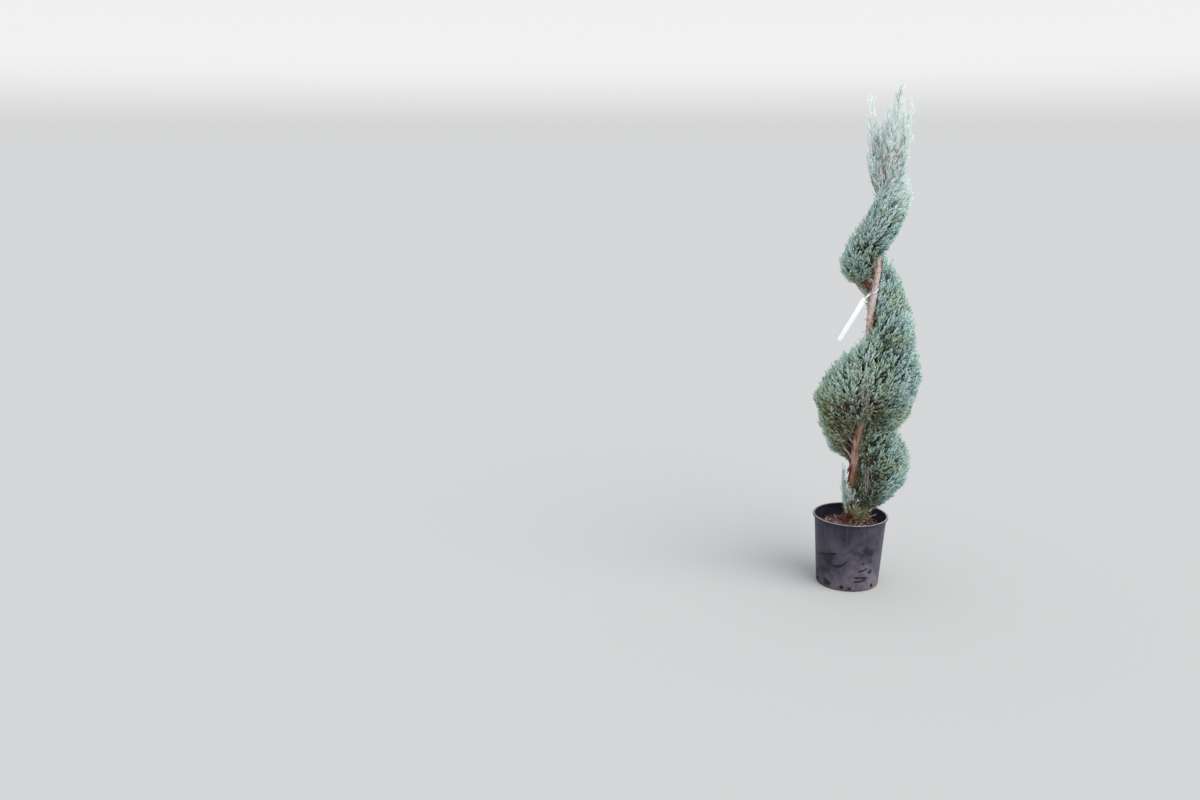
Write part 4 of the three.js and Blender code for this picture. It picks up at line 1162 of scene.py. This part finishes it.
# bark shreds: thin strips that lift from the trunk at one end
def strips(name, count, seed, z_low, z_high, mat, lift_range=(1.0, 5.5), wide_range=(1.3, 3.2), towards=None):
    r = np.random.default_rng(seed)
    pts, tris, base = [], [], 0
    steps = 8
    for _ in range(count):
        z0 = r.uniform(z_low, z_high)
        long = r.uniform(18, 78)
        wide = r.uniform(*wide_range)
        thin = 0.35
        a0 = r.uniform(0, TAU) if towards is None else towards + r.uniform(-0.5, 0.5)
        t = np.linspace(0, 1, steps)
        z = np.clip(z0 + t * long * r.choice([-1, 1]), TRUNK_FOOT + 4, 1500)
        lift = r.uniform(*lift_range) * np.clip(t - 0.45, 0, 1) ** 1.6 * 2.2
        a = a0 + 0.10 * np.sin(t * 3 + r.uniform(0, 6)) + r.uniform(-0.2, 0.2) * np.clip(t - 0.5, 0, 1)
        c = trunk_at(z)
        flare = trunk_flare(a, z)
        rad = trunk_radius(z) + flare + 1.3 + 1.8 * np.clip((600 - z) / 60, 0, 1) * np.clip((z - 330) / 40, 0, 1) + lift
        out = np.stack([np.cos(a), np.sin(a), 0 * a], -1)
        side = np.stack([-np.sin(a), np.cos(a), 0 * a], -1)
        width = wide * np.clip(np.minimum(t * 5 + 0.35, (1 - t) * 4 + 0.2), 0, 1)
        mid = c + out * rad[:, None]
        ring = np.stack([mid + side * width[:, None] + out * thin * 0, mid + out * thin, mid - side * width[:, None], mid - out * thin], 1)
        pts.append(ring.reshape(-1, 3))
        for i in range(steps - 1):
            for j in range(4):
                p0, p1 = base + i * 4 + j, base + i * 4 + (j + 1) % 4
                tris += [[p0, p1, p1 + 4], [p0, p1 + 4, p0 + 4]]
        e = base + (steps - 1) * 4
        tris += [[base, base + 2, base + 1], [base, base + 3, base + 2], [e, e + 1, e + 2], [e, e + 2, e + 3]]
        base += steps * 4
    o = mesh_from(name, np.concatenate(pts), np.array(tris))
    finish_piece(o, mat, "bark")
    return o


strips("bark_shreds_low", 110, 51, 250, 540, shred_warm)
strips("bark_shreds_loose", 12, 56, 440, 492, shred_dark, (8.0, 15.0), (3.6, 6.0), -2.75)
strips("bark_shreds_low_pale", 46, 52, 260, 540, shred_pale)
strips("bark_shreds_mid", 26, 53, 940, 1250, shred_pale)

# stubs where limbs were cut away
stub_list = [  # height, direction in turns, length, radius
    (300, 0.93, 12, 3.6), (352, 0.72, 9, 3.0), (392, 0.98, 8, 2.6), (446, 0.78, 14, 3.2), (470, 0.04, 9, 2.6), (985, 0.86, 9, 2.6),
    (1046, 0.10, 8, 2.4), (1092, 0.80, 10, 2.5), (1152, 0.93, 9, 2.4), (1202, 0.80, 22, 4.4), (1180, 0.20, 10, 2.6)]
stub_runs, stub_radii, ends = [], [], []
for z0, turn, long, rad in stub_list:
    a = float(bearing(turn))
    out = np.array([math.cos(a), math.sin(a), 0.45])
    out /= np.linalg.norm(out)
    foot = trunk_at(z0) + np.array([math.cos(a), math.sin(a), 0]) * float(trunk_radius(z0)) * 0.7
    t = np.linspace(0, 1, 5)[:, None]
    run = foot + out * t * (long + 0.3 * float(trunk_radius(z0)))
    stub_runs.append(run)
    stub_radii.append(rad * np.array([1.5, 1.15, 1.0, 1.0, 0.96]))
    ends.append((run[-1], out, rad * 0.93))
pts, tris = tubes(stub_runs, stub_radii, 9)
finish_piece(mesh_from("cut_stubs", pts, tris, True), bark_limb, "bark")
wood_face = Nodes("cut_wood", 0.8, 0.2)
wood_face.color(wood_face.ramp(wood_face.noise(300), (0.35, srgb(176, 140, 118)), (0.65, srgb(226, 206, 190))))
runs = [np.stack([e - o * 0.1, e + o * 0.5]) for e, o, r0 in ends]
pts, tris = tubes(runs, [np.array([r0, r0 * 0.9]) for e, o, r0 in ends], 9)
finish_piece(mesh_from("cut_stub_faces", pts, tris), wood_face.m, "bark")

# ------------------------------------------------------------------ pot
POT_FOOT, POT_TOP, POT_HEIGHT, POT_RIM, RIM_HIGH, POT_WALL = 121.0, 138.0, 280.0, 145.0, 9.0, 2.4
DRAIN_HOLES, DRAIN_RADIUS, DRAIN_HEIGHT = 6, 8.0, 17.0


def pot_slope(z):
    return POT_FOOT + (POT_TOP - POT_FOOT) * np.asarray(z, float) / (POT_HEIGHT - RIM_HIGH)


profile = [(0, 0), (45, 0), (85, 0), (106, 0), (114, 0), (117.8, 0.5), (120.0, 1.9), (float(pot_slope(5)), 5)]
profile += [(float(pot_slope(z)), z) for z in np.arange(11, 262, 8.5)]
profile += [(float(pot_slope(265)), 265), (float(pot_slope(269)) + 0.1, 269.2), (138.9, 270.4), (141.4, 270.9), (143.6, 271.6), (144.7, 273.1),
            (145.0, 275.2), (144.8, 277.3), (143.9, 278.9), (142.3, 279.8), (140.4, 280.0), (138.6, 279.5), (137.1, 278.2), (136.2, 276.2)]
profile += [(float(pot_slope(z)) - POT_WALL, z) for z in np.arange(271, 14, -10.0)]
profile += [(float(pot_slope(10)) - POT_WALL, 10), (115.5, 5.2), (112.0, 4.0), (60, 4.0), (0, 4.0)]
profile = np.array(profile)
POT_SIDES = 180


def pot_warp(r, z, angle):
    """A used can is not quite round: a little oval at the rim, with shallow dents in the wall."""
    high = np.clip(z / POT_HEIGHT, 0, 1)
    warp = 0.7 * high**2 * np.cos(2 * angle + 0.5)
    for a0, z0, wide, tall, deep in ((3.62, 150, 0.34, 52, 1.2), (5.55, 105, 0.30, 45, 0.9), (1.2, 120, 0.4, 60, 1.2), (4.5, 60, 0.25, 30, 0.6)):
        gap = (angle - a0 + math.pi) % TAU - math.pi
        warp = warp - deep * np.exp(-(gap / wide) ** 2 - ((z - z0) / tall) ** 2)
    return r + warp * np.clip(r / 100, 0, 1) ** 4


ang = np.arange(POT_SIDES) / POT_SIDES * TAU
A, R = np.meshgrid(ang, profile[1:-1, 0])
_, Z = np.meshgrid(ang, profile[1:-1, 1])
RR = pot_warp(R, Z, A)
pts = np.stack([RR * np.cos(A), RR * np.sin(A), Z], -1).reshape(-1, 3)
n = len(profile) - 2
i, j = np.meshgrid(np.arange(n - 1), np.arange(POT_SIDES), indexing="ij")
a, b = i * POT_SIDES + j, i * POT_SIDES + (j + 1) % POT_SIDES
tris = np.concatenate([np.stack([a, b, b + POT_SIDES], -1).reshape(-1, 3), np.stack([a, b + POT_SIDES, a + POT_SIDES], -1).reshape(-1, 3)])
pts = np.concatenate([pts, [[0, 0, 0], [0, 0, 4.0]]])
k = np.arange(POT_SIDES)
tris = np.concatenate([tris, np.stack([(k + 1) % POT_SIDES, k, np.full(POT_SIDES, len(pts) - 2)], -1),
                       np.stack([(n - 1) * POT_SIDES + k, (n - 1) * POT_SIDES + (k + 1) % POT_SIDES, np.full(POT_SIDES, len(pts) - 1)], -1)])
pot = mesh_from("nursery_pot", pts, tris, True)
for q in range(DRAIN_HOLES):
    a = TAU * (q + 0.35) / DRAIN_HOLES
    bpy.ops.mesh.primitive_cylinder_add(vertices=28, radius=DRAIN_RADIUS * MM, depth=0.030)
    tool = bpy.context.object
    tool.rotation_euler = (0, math.pi / 2, a)
    tool.location = (math.cos(a) * POT_FOOT * MM, math.sin(a) * POT_FOOT * MM, DRAIN_HEIGHT * MM)
    cut = pot.modifiers.new("hole", "BOOLEAN")
    cut.operation = "DIFFERENCE"
    cut.solver = "EXACT"
    cut.object = tool
    bpy.context.view_layer.objects.active = pot
    bpy.ops.object.modifier_apply(modifier="hole")
    bpy.data.objects.remove(tool)
pot.data.polygons.foreach_set("use_smooth", np.ones(len(pot.data.polygons), bool))
pot.data.set_sharp_from_angle(angle=math.radians(38))

k = Nodes("pot_plastic", 0.5, 0.24)
around = k.math("MULTIPLY", k.math("ARCTAN2", k.y, k.x), 0.130)
wall = k.vector(around, k.z, 0.0)
cloud = k.noise(9.0, wall, 5, 0.55, 0.3)
grime = k.noise(34.0, wall, 5, 0.65, 0.5)
streak = k.noise(1.0, k.scaled(wall, (70, 7, 1)), 4, 0.6)
color = k.mix(k.map(cloud, 0.38, 0.68), srgb(34, 34, 46), srgb(58, 56, 72))
dusty = k.math("MULTIPLY", k.map(k.z, 0.262, 0.06, 0.20, 1.0), k.map(k.math("ADD", k.math("MULTIPLY", cloud, 0.6), k.math("MULTIPLY", grime, 0.4)), 0.40, 0.62), clamp=True)
# painted light: the pale dust is made stronger towards +x, the side the lamp comes from, so the pot's right reads
# lighter; the height ramp is real dust
color = k.mix(k.math("MULTIPLY", k.math("MULTIPLY", dusty, k.map(k.x, -0.10, 0.13, 0.30, 1.0)), 1.0), color, srgb(122, 115, 126))
foot_dust = k.math("MULTIPLY", k.map(k.z, 0.055, 0.0, 0.0, 1.0), k.map(grime, 0.36, 0.62), clamp=True)
color = k.mix(k.math("MULTIPLY", foot_dust, 0.4), color, srgb(112, 98, 90))
color = k.mix(k.math("MULTIPLY", k.map(streak, 0.55, 0.70), 0.12), color, srgb(126, 122, 128))
marks = k.noise(1.0, k.scaled(wall, (26, 190, 1)), 3, 0.5, 1.6)
where = k.noise(13.0, k.vector(k.math("ADD", around, 3.1), k.z, 0.4), 2, 0.5)
scuffs = k.math("MULTIPLY", k.map(marks, 0.62, 0.655), k.math("MULTIPLY", k.map(where, 0.52, 0.60), k.map(k.z, 0.16, 0.12)), clamp=True)
color = k.mix(k.math("MULTIPLY", scuffs, 0.8), color, srgb(20, 20, 26))


def arc_mark(a0, z0, half_long, drop, thick, tilt):
    """A curved smear on the wall: a thin band along an open arc."""
    gap = k.math("SUBTRACT", around, a0 * 0.130)
    line = k.math("ADD", k.math("MULTIPLY", gap, tilt), k.math("MULTIPLY", k.math("MULTIPLY", gap, gap), drop))
    off = k.math("ABSOLUTE", k.math("SUBTRACT", k.math("SUBTRACT", k.z, z0), line))
    ends = k.map(k.math("ABSOLUTE", gap), half_long * 0.55, half_long, 1.0, 0.0)
    width = k.math("MULTIPLY", ends, thick)
    return k.math("MULTIPLY", k.map(k.math("SUBTRACT", off, width), -0.0012, 0.0016, 1.0, 0.0), k.map(ends, 0.0, 0.45), clamp=True)


for mark in ((-1.80, 0.105, 0.036, 14.0, 0.0052, 0.42), (-2.36, 0.138, 0.066, 0.3, 0.0042, 0.30), (-2.02, 0.150, 0.016, 0.5, 0.0050, 0.2),
             (-1.08, 0.090, 0.024, 2.0, 0.0044, 0.30), (-1.12, 0.058, 0.038, 1.0, 0.0048, -0.08), (-1.16, 0.044, 0.034, 3.0, 0.0044, 0.12), (1.4, 0.120, 0.030, 6.0, 0.0032, -0.2),
             (2.3, 0.080, 0.024, 2.0, 0.0030, 0.15), (0.1, 0.100, 0.026, 4.0, 0.0030, 0.1)):
    color = k.mix(k.math("MULTIPLY", arc_mark(*mark), 0.84), color, srgb(14, 14, 19))
for a0, z0, r0 in ((-0.81, 0.079, 0.0120), (-1.10, 0.119, 0.0065), (-2.30, 0.027, 0.0170), (-2.15, 0.022, 0.0130), (-2.72, 0.050, 0.0150), (-1.45, 0.012, 0.0080), (0.9, 0.050, 0.0090), (2.6, 0.140, 0.0070)):
    off_a = k.math("SUBTRACT", around, a0 * 0.130)
    off_z = k.math("SUBTRACT", k.z, z0)
    far = k.math("SQRT", k.math("ADD", k.math("MULTIPLY", off_a, off_a), k.math("MULTIPLY", off_z, off_z)))
    far = k.math("ADD", far, k.math("MULTIPLY", k.math("SUBTRACT", grime, 0.5), 0.020))
    color = k.mix(k.map(far, r0 * 0.5, r0, 0.80, 0.0), color, srgb(14, 14, 19))
# painted shade: everything from just under the rolled rim upward is darkened, for the shade under the lip; its top is
# made pale on the next lines
lip = k.map(k.z, 0.2685, 0.2700)
color = k.mix(k.math("MULTIPLY", lip, 0.6), color, srgb(24, 24, 32))
# painted highlight with some wear: the top of the rolled rim is made pale, for the sky's reflection along the lip and
# for rubbed plastic
rim_wear_and_highlight = k.math("MULTIPLY", k.map(k.z, 0.2780, 0.2796), k.map(grime, 0.30, 0.60, 0.45, 1.0), clamp=True)
color = k.mix(k.math("MULTIPLY", rim_wear_and_highlight, 0.8), color, srgb(178, 175, 184))
k.color(color)
k.rough(k.math("ADD", 0.36, k.math("MULTIPLY", k.math("ADD", dusty, k.math("MULTIPLY", grime, 0.5)), 0.20)))
k.bump(k.math("ADD", k.math("MULTIPLY", cloud, 0.6), k.math("MULTIPLY", k.noise(420.0, k.object, 2, 0.5), 0.15)), 0.25, 0.002)
finish_piece(pot, k.m, "pot", "pot")

# ------------------------------------------------------------------ potting mix: a bed of crumbs with bark chips on it
MIX_TOP = 238.0
bed_noise, bed_fine = Lattice(61, 30.0), Lattice(62, 7.0)
rings, spokes = 46, 120
rr = np.concatenate([[0.0], np.linspace(3, 133.2, rings)])
A, R = np.meshgrid(np.arange(spokes) / spokes * TAU, rr[1:])
X, Y = R * np.cos(A), R * np.sin(A)


def bed_height(x, y):
    r0 = np.hypot(x, y)
    flat = np.stack([x, y, 0 * x], -1)
    return MIX_TOP - 3.6 - 4.5 * np.clip((r0 - 80) / 55, 0, 1) + 2.2 * bed_noise(flat) + 1.3 * bed_fine(flat)


pts = np.stack([X, Y, bed_height(X, Y)], -1).reshape(-1, 3)
pts = np.concatenate([pts, [[0, 0, float(bed_height(np.array(0.0), np.array(0.0)))]]])
i, j = np.meshgrid(np.arange(rings - 1), np.arange(spokes), indexing="ij")
a, b = i * spokes + j, i * spokes + (j + 1) % spokes
tris = np.concatenate([np.stack([a, a + spokes, b + spokes], -1).reshape(-1, 3), np.stack([a, b + spokes, b], -1).reshape(-1, 3)])
c = np.arange(spokes)
tris = np.concatenate([tris, np.stack([np.full(spokes, len(pts) - 1), c, (c + 1) % spokes], -1)])
# its side and underside, inside the pot
down = np.array([(130.0, 218.0), (116.0, 14.0), (108.0, 6.0)])
ring0 = (rings - 1) * spokes
low = len(pts)
for r0, z0 in down:
    pts = np.concatenate([pts, np.stack([r0 * np.cos(A[0]), r0 * np.sin(A[0]), np.full(spokes, z0)], -1)])
starts = [ring0, low, low + spokes, low + 2 * spokes]
for s0, s1 in zip(starts[:-1], starts[1:]):
    tris = np.concatenate([tris, np.stack([s0 + c, s1 + c, s1 + (c + 1) % spokes], -1), np.stack([s0 + c, s1 + (c + 1) % spokes, s0 + (c + 1) % spokes], -1)])
pts = np.concatenate([pts, [[0, 0, 6.0]]])
tris = np.concatenate([tris, np.stack([starts[-1] + c, np.full(spokes, len(pts) - 1), starts[-1] + (c + 1) % spokes], -1)])
bed = mesh_from("mix_bed", pts, tris, True)
k = Nodes("mix_crumbs", 0.95, 0.15)
crumbs = k.noise(260.0, None, 5, 0.7)
k.color(k.ramp(crumbs, (0.34, srgb(24, 19, 19)), (0.50, srgb(68, 55, 50)), (0.64, srgb(114, 92, 84)), (0.76, srgb(154, 134, 124))))
k.bump(crumbs, 0.9, 0.004)
finish_piece(bed, k.m, "potting_mix", "potting_mix")


def chips(name, count, seed, long, color_low, color_high):
    r = np.random.default_rng(seed)
    rad = 129 * np.sqrt(r.random(count))
    a = r.uniform(0, TAU, count)
    x, y = rad * np.cos(a), rad * np.sin(a)
    clear = np.hypot(x - TRUNK_LINE[0, 1], y - TRUNK_LINE[0, 2]) > 19
    x, y = x[clear], y[clear]
    m = len(x)
    z = bed_height(x, y) + r.uniform(0.4, 3.4, m)
    L = r.uniform(*long, m) / 2
    W = L * r.uniform(0.22, 0.5, m)
    T = np.minimum(W * r.uniform(0.25, 0.5, m), 2.0)
    yaw, tip_, roll = r.uniform(0, TAU, m), r.normal(0, 0.24, m), r.normal(0, 0.35, m)
    e0 = np.stack([np.cos(yaw) * np.cos(tip_), np.sin(yaw) * np.cos(tip_), np.sin(tip_)], -1)
    side = np.stack([-np.sin(yaw), np.cos(yaw), 0 * yaw], -1)
    up = np.cross(e0, side)
    e1 = side * np.cos(roll)[:, None] + up * np.sin(roll)[:, None]
    e2 = np.cross(e0, e1)
    corners = np.array([[-1, -1, -1], [1, -1, -1], [1, 1, -1], [-1, 1, -1], [-1, -1, 1], [1, -1, 1], [1, 1, 1], [-1, 1, 1]], float)
    jit = corners[None] * r.uniform(0.55, 1.15, (m, 8, 3))
    c0 = np.stack([x, y, z], -1)
    pts = c0[:, None] + jit[..., :1] * (e0 * L[:, None])[:, None] + jit[..., 1:2] * (e1 * W[:, None])[:, None] + jit[..., 2:] * (e2 * T[:, None])[:, None]
    rim = np.hypot(pts[..., 0], pts[..., 1])
    pts[..., :2] *= np.minimum(1, 132.2 / np.maximum(rim, 1))[..., None]
    quads = np.array([[0, 3, 2, 1], [4, 5, 6, 7], [0, 1, 5, 4], [1, 2, 6, 5], [2, 3, 7, 6], [3, 0, 4, 7]])
    faces = (np.arange(m)[:, None, None] * 8 + quads[None]).reshape(-1, 4)
    tri = np.concatenate([faces[:, [0, 1, 2]], faces[:, [0, 2, 3]]])
    o = mesh_from(name, pts.reshape(-1, 3), tri)
    k = Nodes(name + "_finish", 0.9, 0.2)
    k.color(k.ramp(k.noise(110.0, None, 4, 0.65), (0.36, color_low), (0.64, color_high)))
    k.bump(k.noise(500.0, None, 3), 0.5, 0.0008)
    finish_piece(o, k.m, "potting_mix")


chips("bark_chips_dark", 480, 71, (7, 21), srgb(54, 42, 39), srgb(112, 86, 78))
chips("bark_chips_red", 360, 72, (7, 24), srgb(90, 58, 48), srgb(148, 104, 86))
chips("bark_chips_orange", 120, 73, (7, 19), srgb(136, 88, 58), srgb(188, 140, 102))
chips("bark_chips_grey", 240, 74, (6, 18), srgb(84, 72, 68), srgb(146, 130, 122))
chips("bark_chips_pink", 300, 75, (7, 19), srgb(160, 126, 122), srgb(226, 198, 194))

# ------------------------------------------------------------------ the blank tag and its tie
tag_top, tag_bottom = np.array([8, -40, 1142.0]), np.array([-77, -52, 982.0])
along = unit((tag_bottom - tag_top)[None])[0]
across = np.array([math.cos(0.35), math.sin(0.35), 0])
across = unit((across - dot(across, along) * along)[None])[0]
face = np.cross(along, across)
long, half = float(np.linalg.norm(tag_bottom - tag_top)), 9.5
t = np.concatenate([np.linspace(0, 9, 6), np.linspace(12, long - 4, 44), np.linspace(long - 3, long, 4)])
wide = np.where(t < 9, half * (0.45 + 0.55 * t / 9), half)
wide = np.where(t > long - 2.5, half - (t - (long - 2.5)) * 0.8, wide)
bow = 2.6 * np.sin(t / long * math.pi) + 0.7 * np.sin(t / 23)
cols = np.linspace(-1, 1, 7)
grid = tag_top + t[:, None, None] * along + (wide[:, None] * cols)[..., None] * across + (bow[:, None] + 0.9 * (1 - cols**2)[None])[..., None] * face
pts = np.concatenate([(grid + 0.3 * face).reshape(-1, 3), (grid - 0.3 * face).reshape(-1, 3)])
nr, nc = len(t), 7
i, j = np.meshgrid(np.arange(nr - 1), np.arange(nc - 1), indexing="ij")
a = (i * nc + j).ravel()
quads = np.stack([a, a + 1, a + nc + 1, a + nc], -1)
back = quads[:, ::-1] + nr * nc
edge = list(range(nc)) + [i * nc + nc - 1 for i in range(1, nr)] + [(nr - 1) * nc + j for j in range(nc - 2, -1, -1)] + [i * nc for i in range(nr - 2, 0, -1)]
edge = np.array(edge)
skirt = np.stack([edge, edge + nr * nc, np.roll(edge, -1) + nr * nc, np.roll(edge, -1)], -1)
faces = np.concatenate([quads, back, skirt])
tag = mesh_from("blank_tag", pts, faces, True)
tag.data.set_sharp_from_angle(angle=math.radians(40))
k = Nodes("tag_plastic", 0.42, 0.5)
k.color(k.ramp(k.noise(40.0, None, 4), (0.3, srgb(250, 251, 251)), (0.7, srgb(254, 254, 254))))
k.bump(k.noise(160.0, None, 3), 0.15, 0.0006)
tie_z, tie_mid = 1166.0, trunk_at(1166.0)
tie_r = float(trunk_radius(1166.0)) + 2.6
loop = [tag_top + along * 4]
for q in range(15):
    w = TAU * (0.60 + q / 15 * 0.90)
    loop.append(tie_mid + np.array([tie_r * math.cos(w), tie_r * math.sin(w), 11 * math.cos(w - 0.6)]))
loop.append(tag_top + along * 5 + across * 2.4)
loop.append(tag_top + along * 9 + across * 9.5 + face * 2)
loop.append(tag_top + along * 7 + across * 17 + face * 3)
loop = np.array(loop)
tt = np.linspace(0, len(loop) - 1, 90)
idx = np.clip(tt.astype(int), 0, len(loop) - 2)
f = (tt - idx)[:, None]
p = [loop[np.clip(idx + d, 0, len(loop) - 1)] for d in (-1, 0, 1, 2)]
curve = 0.5 * (2 * p[1] + (p[2] - p[0]) * f + (2 * p[0] - 5 * p[1] + 4 * p[2] - p[3]) * f**2 + (3 * p[1] - p[0] - 3 * p[2] + p[3]) * f**3)
pts, tris = tubes([curve], [np.full(len(curve), 1.6)], 8)
tie = mesh_from("tag_tie", pts, tris, True)
finish_piece(tag, k.m, "tag", "tag")
finish_piece(tie, k.m, "tag", "tag")

# ------------------------------------------------------------------ stage, light and camera
FLOOR = 1.5e6
floor = mesh_from("floor", [[-FLOOR, -FLOOR, 0], [FLOOR, -FLOOR, 0], [FLOOR, FLOOR, 0], [-FLOOR, FLOOR, 0]], [[0, 1, 2, 3]])
floor.data.materials.append(material("floor_pale", srgb(188, 187, 185), 0.95, 0.0))

world = bpy.data.worlds.new("sky")
bpy.context.scene.world = world
world.use_nodes = True
wt = world.node_tree
sky_way = wt.nodes.new("ShaderNodeTexCoord")
sky_split = wt.nodes.new("ShaderNodeSeparateXYZ")
sky_ramp = wt.nodes.new("ShaderNodeValToRGB")
wt.links.new(sky_way.outputs["Generated"], sky_split.inputs[0])
wt.links.new(sky_split.outputs[2], sky_ramp.inputs[0])
sky_ramp.color_ramp.interpolation = "EASE"
sky_ramp.color_ramp.elements[0].position = 0.0
sky_ramp.color_ramp.elements[0].color = (0.755, 0.758, 0.765, 1)
sky_ramp.color_ramp.elements[1].position = 0.06
sky_ramp.color_ramp.elements[1].color = (1.0, 1.0, 1.0, 1)
high = sky_ramp.color_ramp.elements.new(0.35)
high.color = (0.90, 0.94, 1.0, 1)
wt.links.new(sky_ramp.outputs[0], wt.nodes["Background"].inputs["Color"])
wt.nodes["Background"].inputs["Strength"].default_value = 0.88


def soft_sun(name, towards, strength, spread):
    """Light from a wide patch of the sky, even over the whole floor."""
    data = bpy.data.lights.new(name, "SUN")
    data.energy = strength
    data.angle = math.radians(spread)
    o = bpy.data.objects.new(name, data)
    o.location = (1.6, -2.0, 4.0)
    o.rotation_euler = Vector(towards).to_track_quat("Z", "Y").to_euler()
    bpy.context.scene.collection.objects.link(o)
    return o


soft_sun("overcast", (0.80, -0.50, 1.0), 2.3, 58)

cam_data = bpy.data.cameras.new("camera")
cam_data.sensor_width = 36
cam_data.lens = CAMERA_LENS
cam_data.clip_end = 5000
camera = bpy.data.objects.new("camera", cam_data)
camera.location = CAMERA_AT
camera.rotation_euler = (math.radians(90 - CAMERA_DIP), 0, math.radians(CAMERA_TURN))
bpy.context.scene.collection.objects.link(camera)
bpy.context.scene.camera = camera
bpy.context.scene.view_settings.view_transform = "Standard"
